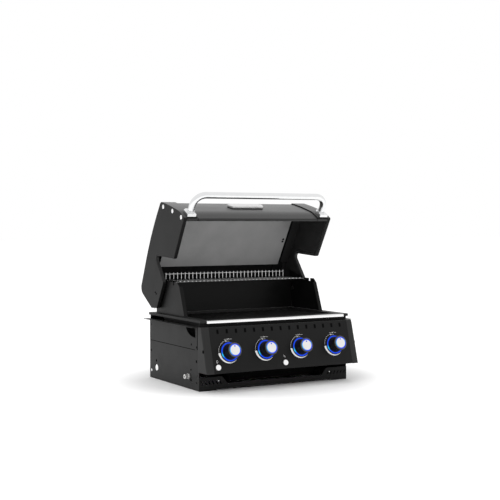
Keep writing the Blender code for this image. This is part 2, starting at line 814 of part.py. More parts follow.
def control_panel():
    """The tilted front sheet with its top and bottom returns, vents and control holes."""
    run = [
        (-PANEL_BOTTOM_REACH + PANEL_RETURN, PANEL_BOTTOM, 0.0),
        (-PANEL_BOTTOM_REACH, PANEL_BOTTOM, PANEL_BEND),
        (-PANEL_TOP_REACH, PANEL_TOP, PANEL_BEND),
        (0.0, PANEL_TOP, 0.0),
    ]
    sheet = folded_sheet(run, SHEET, -PANEL_HALF, PANEL_HALF, "X")
    low = -SHEET - CUT_OVERRUN
    high = CUT_OVERRUN
    vents = []
    for number in range(VENT_COUNT):
        x = (number - (VENT_COUNT - 1) / 2) * KNOB_PITCH / BURNER_COUNT
        vent = block((-VENT_WIDTH / 2, -VENT_HEIGHT / 2, low), (VENT_WIDTH / 2, VENT_HEIGHT / 2, high))
        vents.append(tilted(vent, x, VENT_LEVEL))
    holes = [tilted(rod((0.0, 0.0), STEM_HOLE_RADIUS, low, high, "Z"), x, 0.0) for x in KNOB_XS]
    for x in (LIGHT_BUTTON_INSET - PANEL_HALF, -IGNITER_OFFSET):
        hole = rod((0.0, 0.0), BUTTON_RADIUS + SEAT_GAP, low, high, "Z", BUTTON_FLATS)
        holes.append(tilted(hole, x, -BUTTON_DROP))
    return carve(sheet, gathered(vents + holes))


def panel_end():
    """The moulded end of the control panel: a wedge with a round outer edge, open at the back."""
    inner = PANEL_HALF + SEAT_GAP
    outer = SIDE_OUTER + END_OVERHANG
    back = 0.0
    side = [
        (back, PANEL_BOTTOM),
        (back, PANEL_TOP),
        (-PANEL_TOP_REACH, PANEL_TOP),
        (-PANEL_BOTTOM_REACH, PANEL_BOTTOM),
    ]
    wedge = plate(side, inner, outer, "X")
    edges = [
        edge
        for edge in wedge.edges
        if all(vert.co.x > outer - SEAT_GAP and vert.co.y < -SEAT_GAP for vert in edge.verts)
    ]
    bmesh.ops.bevel(
        wedge, geom=edges, offset=END_CORNER, segments=3, profile=END_CORNER_SHARE, affect="EDGES"
    )
    hollow = [
        (back + CUT_OVERRUN, PANEL_BOTTOM + END_WALL),
        (back + CUT_OVERRUN, PANEL_TOP - END_WALL),
        (-PANEL_TOP_REACH + 2 * END_WALL, PANEL_TOP - END_WALL),
        (-PANEL_BOTTOM_REACH + 2 * END_WALL, PANEL_BOTTOM + END_WALL),
    ]
    return carve(wedge, plate(hollow, inner + END_WALL, outer - 2 * END_WALL, "X"))


def knob_bezel():
    """The ring round a knob, with the lit channel in its face."""
    low = SEAT_GAP
    high = BEZEL_HEIGHT
    sunk = high - BEZEL_CHANNEL_DEPTH
    profile = [
        (STEM_HOLE_RADIUS, low),
        (BEZEL_RADIUS, low),
        (BEZEL_RADIUS, high - BEZEL_CHANNEL_DEPTH),
        (BEZEL_RADIUS - BEZEL_CHANNEL_DEPTH, high),
        (BEZEL_CHANNEL_OUTER, high),
        (BEZEL_CHANNEL_OUTER, sunk),
        (BEZEL_CHANNEL_INNER, sunk),
        (BEZEL_CHANNEL_INNER, high),
        (STEM_HOLE_RADIUS, high),
    ]
    return turned(profile, KNOB_FLATS, ring=True)


def valve():
    """Valve body under a knob, its seat on the manifold and its nozzle towards the burner."""
    top = -SHEET - SEAT_GAP
    bore_radius = STEM_RADIUS + SEAT_GAP
    half = MANIFOLD_SIZE / 2
    start = VALVE_REAR - VALVE_RADIUS
    stop = MANIFOLD_Y + half
    seat = MANIFOLD_Z + half + SEAT_GAP
    body = tilted(rod((0.0, 0.0), VALVE_RADIUS, -VALVE_DEPTH, top, "Z"), 0.0, 0.0)
    bore = rod((0.0, 0.0), bore_radius, -VALVE_BORE_DEPTH, top + CUT_OVERRUN, "Z", SMALL_FLATS)
    saddle = block((-half, start, seat), (half, stop, BURNER_LEVEL + NOZZLE_RADIUS))
    tip = VENTURI_FRONT + NOZZLE_REACH
    nozzle = rod((0.0, BURNER_LEVEL), NOZZLE_RADIUS, start, tip, "Y", SMALL_FLATS)
    return carve(unite(body, saddle, nozzle), tilted(bore, 0.0, 0.0))


def valve_stem():
    """The turning stem, stepped where it leaves the valve."""
    return turned(
        [
            (0.0, -VALVE_BORE_DEPTH + SEAT_GAP),
            (STEM_RADIUS, -VALVE_BORE_DEPTH + SEAT_GAP),
            (STEM_RADIUS, STEM_TIP_LEVEL - STEM_EDGE),
            (STEM_RADIUS - STEM_EDGE, STEM_TIP_LEVEL),
            (0.0, STEM_TIP_LEVEL),
        ],
        SMALL_FLATS,
    )


def knob():
    """Knob: hub, skirt, rounded rim and a sunk face, with a blind bore for the stem."""
    bore = STEM_RADIUS + SEAT_GAP
    return turned(
        [
            (0.0, KNOB_BORE_LEVEL),
            (bore, KNOB_BORE_LEVEL),
            (bore, KNOB_HUB_LEVEL),
            (KNOB_HUB_RADIUS, KNOB_HUB_LEVEL),
            (KNOB_HUB_RADIUS, KNOB_SKIRT_LEVEL),
            (KNOB_RADIUS - KNOB_EDGE / 2, KNOB_SKIRT_LEVEL),
            (KNOB_RADIUS, KNOB_SKIRT_LEVEL + KNOB_EDGE / 2),
            (KNOB_RADIUS, KNOB_TIP_LEVEL - KNOB_EDGE),
            (KNOB_RADIUS - KNOB_EDGE / 3, KNOB_TIP_LEVEL - KNOB_EDGE / 3),
            (KNOB_RADIUS - KNOB_EDGE, KNOB_TIP_LEVEL),
            (KNOB_FACE_RADIUS, KNOB_TIP_LEVEL),
            (KNOB_FACE_RADIUS, KNOB_TIP_LEVEL - KNOB_FACE_RECESS),
            (0.0, KNOB_TIP_LEVEL - KNOB_FACE_RECESS),
        ],
        KNOB_FLATS,
    )


def push_button():
    return turned(
        [
            (0.0, BUTTON_PROUD - BUTTON_LENGTH),
            (BUTTON_RADIUS, BUTTON_PROUD - BUTTON_LENGTH),
            (BUTTON_RADIUS, BUTTON_PROUD - BUTTON_EDGE),
            (BUTTON_RADIUS - BUTTON_EDGE, BUTTON_PROUD),
            (0.0, BUTTON_PROUD),
        ],
        BUTTON_FLATS,
    )


def button_housing(width, depth):
    """A box behind the panel with a well that a push button slides in."""
    half = width / 2
    rise = HOUSING_HEIGHT / 2
    well = BUTTON_PROUD - BUTTON_LENGTH - BUTTON_TRAVEL - SHEET
    top = -SHEET - SEAT_GAP
    box = block((-half, -rise, -depth), (half, rise, top))
    return carve(box, rod((0.0, 0.0), BUTTON_RADIUS + SEAT_GAP, well, top + CUT_OVERRUN, "Z", BUTTON_FLATS))


def gas_manifold():
    """The square gas rail under the valves, and the pipe from the inlet at the cabinet's left."""
    half = MANIFOLD_SIZE / 2
    section = rounded(
        [
            (MANIFOLD_Y - half, MANIFOLD_Z - half, MANIFOLD_BEND),
            (MANIFOLD_Y + half, MANIFOLD_Z - half, MANIFOLD_BEND),
            (MANIFOLD_Y + half, MANIFOLD_Z + half, MANIFOLD_BEND),
            (MANIFOLD_Y - half, MANIFOLD_Z + half, MANIFOLD_BEND),
        ]
    )
    reach = KNOB_XS[-1] + MANIFOLD_OVERRUN
    rail = plate(section, -reach, reach, "X")
    pipe_x = INLET_PIPE_INSET - SIDE_OUTER
    pipe = tube(
        bent_path(
            [
                (-reach + half, MANIFOLD_Y, MANIFOLD_Z),
                (pipe_x, MANIFOLD_Y, MANIFOLD_Z),
                (pipe_x, INLET_Y, MANIFOLD_Z),
                (pipe_x, INLET_Y, INLET_Z),
                (-SIDE_INNER + SHEET + SEAT_GAP, INLET_Y, INLET_Z),
            ],
            INLET_PIPE_BEND,
        ),
        INLET_PIPE_RADIUS,
        SMALL_FLATS,
    )
    return unite(rail, pipe)


def gas_inlet_fitting():
    """The threaded inlet through the cabinet's left side, with its hexagon outside."""
    centre = (INLET_Y, INLET_Z)
    nut_low = -SIDE_OUTER - SEAT_GAP - INLET_HEX_HEIGHT
    tip = -SIDE_OUTER - INLET_PROUD
    hexagon = plate(circle(centre, INLET_HEX_RADIUS, 6), nut_low, -SIDE_OUTER - SEAT_GAP, "X")
    barrel = rod(centre, INLET_RADIUS, tip, -SIDE_INNER + SHEET, "X")
    bore = rod(centre, INLET_BORE_RADIUS, tip - CUT_OVERRUN, -SIDE_OUTER, "X", SMALL_FLATS)
    return carve(unite(barrel, hexagon), bore)


def burner():
    """Tube burner along Y: venturi through the tub's front wall, and a closed rear end."""
    rear = MOUTH_REAR - GRATE_LEDGE - TAMER_LEDGE - SEAT_GAP
    mouth = VENTURI_RADIUS - SHEET
    neck = VENTURI_FRONT + VENTURI_REACH + BURNER_NECK
    shape = turned(
        [
            (0.0, rear),
            (BURNER_RADIUS, rear),
            (BURNER_RADIUS, neck + BURNER_RADIUS),
            (VENTURI_RADIUS, neck),
            (VENTURI_RADIUS, VENTURI_FRONT),
            (mouth, VENTURI_FRONT),
            (mouth, neck),
            (BURNER_RADIUS - SHEET, neck + BURNER_RADIUS),
            (BURNER_RADIUS - SHEET, rear - SHEET),
            (0.0, rear - SHEET),
        ],
        ROUND_FLATS,
    )
    level = Matrix.Translation((0.0, 0.0, BURNER_LEVEL)) @ Matrix.Rotation(-math.pi / 2, 4, "X")
    bmesh.ops.transform(shape, matrix=level, verts=shape.verts)
    return shape


def firebox_tub():
    """The cast tub: funnel floor with a drain, ledges for tamers and grates, and the folded rim."""
    lip_level = RIM_TOP - RIM_LIP
    under = RIM_TOP - RIM_GAUGE
    outer = MOUTH_HALF + TUB_WALL
    front = MOUTH_FRONT - TUB_WALL
    rear = MOUTH_REAR + TUB_WALL
    drain = OUTLET_HALF - TUB_WALL
    grate_half = MOUTH_HALF - GRATE_LEDGE
    grate_front = MOUTH_FRONT + GRATE_LEDGE
    grate_rear = MOUTH_REAR - GRATE_LEDGE
    low_half = grate_half - TAMER_LEDGE
    low_front = grate_front + TAMER_LEDGE
    low_rear = grate_rear - TAMER_LEDGE
    neck = OUTLET_LEVEL + OUTLET_NECK
    rings = [
        (OUTLET_HALF, OUTLET_Y - OUTLET_HALF, OUTLET_Y + OUTLET_HALF, OUTLET_LEVEL),
        (OUTLET_HALF, OUTLET_Y - OUTLET_HALF, OUTLET_Y + OUTLET_HALF, neck),
        (outer - TUB_TAPER, front, rear, TUB_KNEE_LEVEL),
        (outer, front, rear, under),
        (RIM_HALF - RIM_GAUGE, -RIM_FRONT + RIM_GAUGE, RIM_REAR - RIM_GAUGE, under),
        (RIM_HALF - RIM_GAUGE, -RIM_FRONT + RIM_GAUGE, RIM_REAR - RIM_GAUGE, lip_level),
        (RIM_HALF, -RIM_FRONT, RIM_REAR, lip_level),
        (RIM_HALF, -RIM_FRONT, RIM_REAR, RIM_TOP),
        (MOUTH_HALF, MOUTH_FRONT, MOUTH_REAR, RIM_TOP),
        (MOUTH_HALF, MOUTH_FRONT, MOUTH_REAR, GRATE_LEDGE_LEVEL),
        (grate_half, grate_front, grate_rear, GRATE_LEDGE_LEVEL),
        (grate_half, grate_front, grate_rear, TAMER_LEDGE_LEVEL),
        (low_half, low_front, low_rear, TAMER_LEDGE_LEVEL),
        (low_half, low_front, low_rear, TUB_KNEE_LEVEL + TUB_WALL),
        (drain, OUTLET_Y - drain, OUTLET_Y + drain, neck + TUB_WALL),
        (drain, OUTLET_Y - drain, OUTLET_Y + drain, OUTLET_LEVEL),
    ]
    tub = loft_rectangles(rings)
    holes = gathered(
        rod((x, BURNER_LEVEL), VENTURI_RADIUS + SEAT_GAP, front - CUT_OVERRUN, low_front + CUT_OVERRUN, "Y")
        for x in KNOB_XS
    )
    return carve(tub, holes)


def cooking_grate():
    """One cast grate, drawn on the right: ridged bars along Y on cross members."""
    left = SPLIT_GAP
    right = MOUTH_HALF - SEAT_GAP
    front = MOUTH_FRONT + SEAT_GAP
    rear = MOUTH_REAR - SEAT_GAP
    low = GRATE_LEDGE_LEVEL + SEAT_GAP
    shoulder = low + GRATE_BAR_HEIGHT
    half_bar = GRATE_BAR / 2
    pitch = (right - left - GRATE_BAR) / (GRATE_BAR_COUNT - 1)
    bars = []
    for number in range(GRATE_BAR_COUNT):
        middle = left + half_bar + number * pitch
        section = [
            (middle - half_bar, low),
            (middle + half_bar, low),
            (middle + half_bar, shoulder),
            (middle, shoulder + GRATE_RIDGE_HEIGHT),
            (middle - half_bar, shoulder),
        ]
        bars.append(plate(section, front, rear, "Y"))
    members = []
    for number in range(GRATE_MEMBER_COUNT):
        inset = GRATE_MEMBER_INSET + GRATE_MEMBER / 2
        y = front + inset + (rear - front - 2 * inset) * number / (GRATE_MEMBER_COUNT - 1)
        members.append(
            block(
                (left + half_bar, y - GRATE_MEMBER / 2, low + GRATE_MEMBER_STEP),
                (right - half_bar, y + GRATE_MEMBER / 2, shoulder - GRATE_MEMBER_STEP),
            )
        )
    return unite(gathered(bars), gathered(members))


def flame_tamer():
    """One folded roof over two burners, drawn on the right."""
    left = SPLIT_GAP
    right = MOUTH_HALF - GRATE_LEDGE - SEAT_GAP
    low = TAMER_LEDGE_LEVEL + SEAT_GAP
    under = []
    for number in range(TAMER_FOLDS + 1):
        x = left + (right - left) * number / TAMER_FOLDS
        under.append((x, low + (TAMER_RISE if number % 2 else 0.0)))
    over = [(x, z + SHEET) for x, z in under]
    front = MOUTH_FRONT + GRATE_LEDGE + SEAT_GAP
    rear = MOUTH_REAR - GRATE_LEDGE - SEAT_GAP
    return plate(under + over[::-1], front, rear, "Y")


def trim_bar():
    """The bright bar along the rim's front edge, rounded towards the cook."""
    back = -RIM_FRONT - SEAT_GAP
    top = RIM_TOP - TRIM_DROP
    low = top - TRIM_HEIGHT
    half = SIDE_OUTER - TRIM_INSET
    section = rounded(
        [
            (back, low, 0.0),
            (back, top, 0.0),
            (back - TRIM_DEPTH, top, TRIM_ROUND),
            (back - TRIM_DEPTH, low, TRIM_ROUND),
        ]
    )
    return plate(section, -half, half, "X")


def cheek_point(shares):
    """A point on the raised side's outline, from shares of its depth and height."""
    return (CHEEK_FRONT + CHEEK_DEPTH * shares[0], RIM_TOP + CHEEK_HEIGHT * shares[1])


def rack_level():
    """The middle of the warming rack's wires, just under the top of the raised sides."""
    return cheek_point(CHEEK_STEP_SHARES)[1] - RACK_DROP


def cheek():
    """A raised firebox side, drawn on the right: spit notch, front flange, rack tabs, pivot hole."""
    low = RIM_TOP + SEAT_GAP
    half_notch = SPIT_NOTCH_WIDTH / 2
    step = cheek_point(CHEEK_STEP_SHARES)
    brow = cheek_point(CHEEK_BROW_SHARES)
    shoulder = cheek_point(CHEEK_SHOULDER_SHARES)
    notch = CHEEK_FRONT + CHEEK_DEPTH * SPIT_NOTCH_SHARE
    notch_floor = step[1] - SPIT_NOTCH_DEPTH
    outline = [
        (CHEEK_FRONT, low),
        (CHEEK_REAR, low),
        (CHEEK_REAR, RIM_TOP + CHEEK_HEIGHT),
        step,
        (notch + half_notch, step[1]),
        (notch + half_notch, notch_floor),
        (notch - half_notch, notch_floor),
        (notch - half_notch, step[1]),
        brow,
        shoulder,
    ]
    sheet = plate(outline, CHEEK_INNER, CHEEK_OUTER, "X")
    flange = plate(
        [
            (CHEEK_FRONT, low),
            (CHEEK_FRONT + CHEEK_GAUGE, low),
            (shoulder[0] + CHEEK_GAUGE, shoulder[1]),
            shoulder,
        ],
        CHEEK_INNER - CHEEK_FLANGE,
        CHEEK_INNER + CHEEK_GAUGE / 2,
        "X",
    )
    tab_top = rack_level() - RACK_RAIL / 2 - SEAT_GAP
    rack_rear = BACK_TOP_Y + SHEET
    tabs = [
        block(
            (CHEEK_INNER - RACK_TAB_REACH, y - RACK_TAB / 2, tab_top - CHEEK_GAUGE),
            (CHEEK_INNER + CHEEK_GAUGE / 2, y + RACK_TAB / 2, tab_top),
        )
        for y in (rack_rear - RACK_DEPTH, rack_rear)
    ]
    hole_low = CHEEK_INNER - CUT_OVERRUN
    hole = rod((PIVOT_Y, PIVOT_Z), PIN_RADIUS + SEAT_GAP, hole_low, CHEEK_OUTER + CUT_OVERRUN, "X")
    return carve(unite(sheet, flange, *tabs), hole)


def firebox_rear_wall():
    """The sheet behind the cooking space, leaning back, between the raised sides."""
    half = CHEEK_INNER - SEAT_GAP
    low = RIM_TOP + SEAT_GAP
    top = RIM_TOP + BACK_HEIGHT
    outline = [
        (BACK_FOOT_Y, low),
        (BACK_FOOT_Y + SHEET, low),
        (BACK_TOP_Y + SHEET, top),
        (BACK_TOP_Y, top),
    ]
    return plate(outline, -half, half, "X")


def warming_rack():
    """The rack over the rear of the grates: bent wires on two rails, with a rod along their tips."""
    half_wire = RACK_WIRE / 2
    half = CHEEK_INNER - RACK_SIDE_GAP
    fence_half = half - RACK_FENCE_INSET
    level = rack_level()
    tip = level + RACK_FENCE_HEIGHT
    rear = BACK_TOP_Y + SHEET
    front = rear - RACK_DEPTH
    pitch = 2 * fence_half / (RACK_WIRE_COUNT - 1)
    bend = [
        (front, level - half_wire),
        (rear + half_wire, level - half_wire),
        (rear + half_wire, tip),
        (rear - half_wire, tip),
        (rear - half_wire, level + half_wire),
        (front, level + half_wire),
    ]
    wires = []
    for number in range(RACK_WIRE_COUNT):
        x = -fence_half + number * pitch
        wires.append(plate(bend, x - half_wire, x + half_wire, "X"))
    rails = [rod((y, level), RACK_RAIL / 2, -half, half, "X", RACK_RAIL_FLATS) for y in (front, rear)]
    reach = fence_half + RACK_RAIL / 2
    rod_at = (rear + half_wire, tip - RACK_TIP_ROD_DROP)
    rails.append(rod(rod_at, RACK_TIP_ROD / 2, -reach, reach, "X", RACK_RAIL_FLATS))
    return unite(gathered(wires), gathered(rails))


def hinge_pin():
    """A lid pivot pin, drawn on the right: its head inside the raised side, its tip in the lid."""
    seat = CHEEK_INNER - SEAT_GAP
    tip = CAP_OUTER - CAP_SKIN - SEAT_GAP
    head = rod((PIVOT_Y, PIVOT_Z), PIN_HEAD_RADIUS, seat - PIN_HEAD, seat, "X", SMALL_FLATS)
    shaft = rod((PIVOT_Y, PIVOT_Z), PIN_RADIUS, seat - PIN_HEAD / 2, tip, "X")
    return unite(head, shaft)


def grease_tray():
    """The drip tray under the tub's drain: sloping sides and a grip along its front edge."""
    low = TRAY_LEVEL
    high = TRAY_LEVEL + TRAY_HEIGHT
    foot = TRAY_HALF - TRAY_TAPER
    rings = [
        (foot, TRAY_FRONT + TRAY_TAPER, TRAY_REAR - TRAY_TAPER, low),
        (TRAY_HALF, TRAY_FRONT, TRAY_REAR, high),
        (TRAY_HALF - SHEET, TRAY_FRONT + SHEET, TRAY_REAR - SHEET, high),
        (foot - SHEET, TRAY_FRONT + TRAY_TAPER + SHEET, TRAY_REAR - TRAY_TAPER - SHEET, low + SHEET),
    ]
    shape = bmesh.new()
    rows = []
    for half, front, rear, level in rings:
        spots = ((-half, front), (half, front), (half, rear), (-half, rear))
        rows.append([shape.verts.new((x, y, level)) for x, y in spots])
    for lower, upper in zip(rows, rows[1:]):
        for k in range(4):
            after = (k + 1) % 4
            shape.faces.new((lower[k], lower[after], upper[after], upper[k]))
    shape.faces.new(rows[0])
    shape.faces.new(rows[-1])
    grip = block(
        (-TRAY_HALF / 2, TRAY_FRONT - TRAY_GRIP, high - SHEET),
        (TRAY_HALF / 2, TRAY_FRONT + SHEET / 2, high),
    )
    return unite(shape, grip)


def tray_runner():
    """The angle that one side of the grease tray slides on, drawn on the right."""
    run = [
        (RUNNER_INNER - RUNNER_LEDGE, RUNNER_LEVEL, 0.0),
        (RUNNER_INNER, RUNNER_LEVEL, 0.0),
        (RUNNER_INNER, RUNNER_LEVEL + RUNNER_WALL, 0.0),
    ]
    return folded_sheet(run, SHEET, 0.0, CABINET_DEPTH, "Y")


def lid_corners():
    """The lid's side outline, closed, as corners with radii."""
    spots = [
        Vector((LID_DEPTH * y - LID_FRONT, LID_BOTTOM + LID_HEIGHT * z)) for y, z, _ in LID_CORNER_SHARES
    ]
    corners = []
    for index, (_, _, rounding_share) in enumerate(LID_CORNER_SHARES):
        run_in = spots[index] - spots[index - 1]
        run_out = spots[(index + 1) % len(spots)] - spots[index]
        cut = rounding_share * min(run_in.length, run_out.length)
        corners.append((*spots[index], cut / math.tan(run_in.angle(run_out) / 2)))
    return corners


def shell_corners():
    """The lid shell's outer face: the side outline moved in, from the front lip to the rear edge."""
    chain = offset_corners(lid_corners()[:LID_SHELL_CORNERS], CAP_PROUD)
    front, above = Vector(chain[0][:2]), Vector(chain[1][:2])
    lip_z = LID_BOTTOM + SHELL_LIP_LEVEL
    share = (lip_z - front.y) / (above.y - front.y)
    corner = front.lerp(above, share)
    start = (corner.x + SHELL_LIP_WIDTH, lip_z, 0.0)
    return [start, (corner.x, lip_z, SHELL_LIP_RADIUS), *chain[1:]]


def wrap_corners():
    """The outer face of an end cap's wrap: the side outline from just over its front corner."""
    corners = lid_corners()[:LID_SHELL_CORNERS]
    first, above = Vector(corners[0][:2]), Vector(corners[1][:2])
    return [(*first.lerp(above, CAP_WRAP_START_SHARE), 0.0), *corners[1:]]


def lid_outer_shell():
    half = CAP_INNER - SEAT_GAP
    return folded_sheet(shell_corners(), SHEET, -half, half, "X")


def lid_end_cap():
    """A lid end, drawn on the right: skin, rim, wrap over the shell, pivot boss and liner shelf."""
    outline = lid_corners()
    body = plate(rounded(outline), CAP_INNER, CAP_OUTER, "X")
    pocket_low = CAP_INNER - CUT_OVERRUN
    inside = rounded(offset_corners(outline, CAP_RIM, closed=True))
    pocket = plate(inside, pocket_low, CAP_OUTER - CAP_SKIN, "X")
    wrap_low = CAP_OUTER - CAP_WRAP
    wrap = folded_sheet(wrap_corners(), CAP_PROUD - SEAT_GAP, wrap_low, CAP_INNER + CAP_SKIN / 2, "X")
    boss = rod((PIVOT_Y, PIVOT_Z), PIN_BOSS_RADIUS, CAP_INNER, CAP_OUTER - CAP_SKIN / 2, "X")
    shelf_low = LINER_LEVEL + SEAT_GAP
    shelf_front = LID_DEPTH * SHELF_FRONT_SHARE - LID_FRONT
    shelf_rear = LID_DEPTH * LINER_REAR_SHARE - LID_FRONT - SHELF_END
    shelf = block(
        (LINER_HALF - SHELF_LAP, shelf_front, shelf_low),
        (CAP_OUTER - CAP_SKIN / 2, shelf_rear, shelf_low + SHEET),
    )
    hole = rod((PIVOT_Y, PIVOT_Z), PIN_RADIUS + SEAT_GAP, pocket_low, CAP_OUTER - CAP_SKIN, "X")
    return carve(unite(carve(body, pocket), wrap, boss, shelf), hole)


def lid_inner_liner():
    """The heat shield inside the lid, flat above and turned down at the front."""
    front_share, level_share = LINER_FRONT_SHARES
    run = [
        (LID_DEPTH * front_share - LID_FRONT, LID_BOTTOM + LID_HEIGHT * level_share, 0.0),
        (LID_DEPTH * LINER_BEND_SHARE - LID_FRONT, LINER_LEVEL, LINER_BEND_RADIUS),
        (LID_DEPTH * LINER_REAR_SHARE - LID_FRONT, LINER_LEVEL, 0.0),
    ]
    return folded_sheet(run, SHEET, -LINER_HALF, LINER_HALF, "X")


def face_at(corners, height):
    """The point on a face of the lid's front at a height, and the face's outward direction there."""
    points = rounded(corners, closed=False)
    for low, high in zip(points, points[1:]):
        if low[1] <= height <= high[1] and low[0] < LID_DEPTH / 2:
            start, end = Vector(low), Vector(high)
            run = (end - start).normalized()
            spot = start.lerp(end, (height - low[1]) / (high[1] - low[1]))
            return spot, Vector((-run.y, run.x))
    raise ValueError("the height is off the front of the lid")


def on_lid(shape, x, corners, height):
    """Stand a shape drawn flat, its back at zero, on a face of the lid's front."""
    spot, outward = face_at(corners, height)
    turn = Matrix.Rotation(math.atan2(-outward.x, outward.y), 4, "X")
    place = Matrix.Translation((x, spot.x, spot.y)) @ turn
    bmesh.ops.transform(shape, matrix=place, verts=shape.verts)
    return shape


def collar_end():
    """How far forward the collar of a handle foot reaches."""
    spot, _ = face_at(wrap_corners(), HANDLE_Z)
    return spot.x - FOOT_THICKNESS - FOOT_COLLAR_REACH


def handle_tube():
    root = collar_end() - SEAT_GAP
    path = bent_path(
        [
            (-HANDLE_LEG_X, root, HANDLE_Z),
            (-HANDLE_LEG_X, -HANDLE_BAR_Y, HANDLE_Z),
            (HANDLE_LEG_X, -HANDLE_BAR_Y, HANDLE_Z),
            (HANDLE_LEG_X, root, HANDLE_Z),
        ],
        HANDLE_BEND,
    )
    return tube(path, HANDLE_RADIUS, ROUND_FLATS)


def handle_foot():
    """The bright foot of a handle leg, drawn on the right."""
    half_width = FOOT_WIDTH / 2
    half_height = FOOT_HEIGHT / 2
    outline = [
        (-half_width, -half_height),
        (half_width, -half_height),
        (half_width, half_height - FOOT_CHAMFER),
        (half_width - FOOT_CHAMFER, half_height),
        (-half_width + FOOT_CHAMFER, half_height),
        (-half_width, half_height - FOOT_CHAMFER),
    ]
    flat = plate(outline, SEAT_GAP, FOOT_THICKNESS, "Z")
    pad = on_lid(flat, HANDLE_LEG_X + FOOT_OFFSET, wrap_corners(), HANDLE_Z)
    spot, _ = face_at(wrap_corners(), HANDLE_Z)
    root = spot.x - FOOT_THICKNESS / 2
    collar = rod((HANDLE_LEG_X, HANDLE_Z), FOOT_COLLAR_RADIUS, collar_end(), root, "Y")
    return unite(pad, collar)


def badge_plate():
    """The bare plate on the lid's front, with clipped wings."""
    half = BADGE_WIDTH / 2
    rise = BADGE_HEIGHT / 2
    outline = [
        (-half + BADGE_WING / 2, -rise),
        (half - BADGE_WING / 2, -rise),
        (half, rise / 2),
        (half - BADGE_WING, rise),
        (-half + BADGE_WING, rise),
        (-half, rise / 2),
    ]
    return on_lid(plate(outline, SEAT_GAP, BADGE_THICKNESS, "Z"), 0.0, shell_corners(), BADGE_Z)


def from_pivot(shape):
    """Move a lid shape from the datum to the lid's pivot."""
    bmesh.ops.translate(shape, vec=(0.0, -PIVOT_Y, -PIVOT_Z), verts=shape.verts)
    return shape


def build_cabinet(datum, black, steel):
    inlet = (INLET_Y, INLET_Z, INLET_RADIUS + SEAT_GAP)
    piece("left_lower_side_panel", mirrored(lower_side_panel([inlet])), black, datum)
    piece("right_lower_side_panel", lower_side_panel(), black, datum)
    piece("left_upper_side_panel", mirrored(upper_side_panel()), black, datum)
    piece("right_upper_side_panel", upper_side_panel(), black, datum)
    piece("base_front_plate", base_front_plate(), black, datum)
    piece("rear_panel", rear_panel(), steel, datum)
    piece("rear_base_rail", rear_base_rail(), steel, datum)
    piece("front_cross_rail", front_cross_rail(), black, datum)
    piece("left_tray_runner", mirrored(tray_runner()), steel, datum)
    piece("right_tray_runner", tray_runner(), steel, datum)
    piece("grease_tray", grease_tray(), black, datum)


def build_controls(datum, black, plastic, brass, chrome, steel):
    piece("control_panel", control_panel(), black, datum)
    piece("control_panel_left_end", mirrored(panel_end()), black, datum)
    piece("control_panel_right_end", panel_end(), black, datum)
    for number, x in enumerate(KNOB_XS, 1):
        centre = (x, KNOB_Y, KNOB_HEIGHT)
        piece(f"knob_bezel_{number}", knob_bezel(), plastic, datum, centre, PANEL_TURN, SMOOTH)
        piece(f"valve_{number}", valve(), brass, datum, (x, 0.0, 0.0))
        piece(f"valve_stem_{number}", valve_stem(), steel, datum, centre, PANEL_TURN, SMOOTH)
        piece(f"knob_{number}", knob(), plastic, datum, centre, PANEL_TURN, SMOOTH)
        piece(f"burner_{number}", burner(), steel, datum, (x, 0.0, 0.0), 0.0, SMOOTH)
    up = Vector((0.0, math.sin(PANEL_TILT), math.cos(PANEL_TILT)))
    for name, housing, x, width, depth in (
        ("igniter_button", "igniter_module", -IGNITER_OFFSET, IGNITER_WIDTH, IGNITER_DEPTH),
        ("light_button", "light_switch", LIGHT_BUTTON_INSET - PANEL_HALF, SWITCH_WIDTH, SWITCH_DEPTH),
    ):
        centre = Vector((x, KNOB_Y, KNOB_HEIGHT)) - up * BUTTON_DROP
        piece(name, push_button(), chrome, datum, centre, PANEL_TURN, SMOOTH)
        piece(housing, button_housing(width, depth), plastic, datum, centre, PANEL_TURN)
    piece("gas_manifold", gas_manifold(), steel, datum, smooth=SMOOTH)
    piece("gas_inlet_fitting", gas_inlet_fitting(), chrome, datum)


def build_firebox(datum, cast, black, steel, chrome):
    piece("firebox_tub", firebox_tub(), cast, datum)
    piece("front_trim_bar", trim_bar(), chrome, datum, smooth=SMOOTH)
    piece("firebox_left_side", mirrored(cheek()), black, datum)
    piece("firebox_right_side", cheek(), black, datum)
    piece("firebox_rear_wall", firebox_rear_wall(), black, datum)
    piece("left_cooking_grate", mirrored(cooking_grate()), cast, datum)
    piece("right_cooking_grate", cooking_grate(), cast, datum)
    piece("left_flame_tamer", mirrored(flame_tamer()), steel, datum)
    piece("right_flame_tamer", flame_tamer(), steel, datum)
    piece("warming_rack", warming_rack(), chrome, datum)
    piece("left_hinge_pin", mirrored(hinge_pin()), steel, datum)
    piece("right_hinge_pin", hinge_pin(), steel, datum)


def build_lid(hinge, shell_paint, black, liner_paint, chrome):
    piece("lid_outer_shell", from_pivot(lid_outer_shell()), shell_paint, hinge, smooth=SMOOTH)
    piece("lid_left_end_cap", from_pivot(mirrored(lid_end_cap())), black, hinge)
    piece("lid_right_end_cap", from_pivot(lid_end_cap()), black, hinge)
    piece("lid_inner_liner", from_pivot(lid_inner_liner()), liner_paint, hinge)
    piece("lid_handle_tube", from_pivot(handle_tube()), chrome, hinge, smooth=SMOOTH)
    piece("lid_handle_left_base", from_pivot(mirrored(handle_foot())), chrome, hinge)
    piece("lid_handle_right_base", from_pivot(handle_foot()), chrome, hinge)
    piece("lid_badge_plate", from_pivot(badge_plate()), chrome, hinge)


def centre_over_origin(datum):
    """Slide the datum along Y so that the grill's box is centred on the origin."""
    bpy.context.view_layer.update()
    reaches = [
        (made.matrix_world @ vert.co).y
        for made in bpy.data.objects
        if made.type == "MESH"
        for vert in made.data.vertices
    ]
    datum.location.y = -(min(reaches) + max(reaches)) / 2


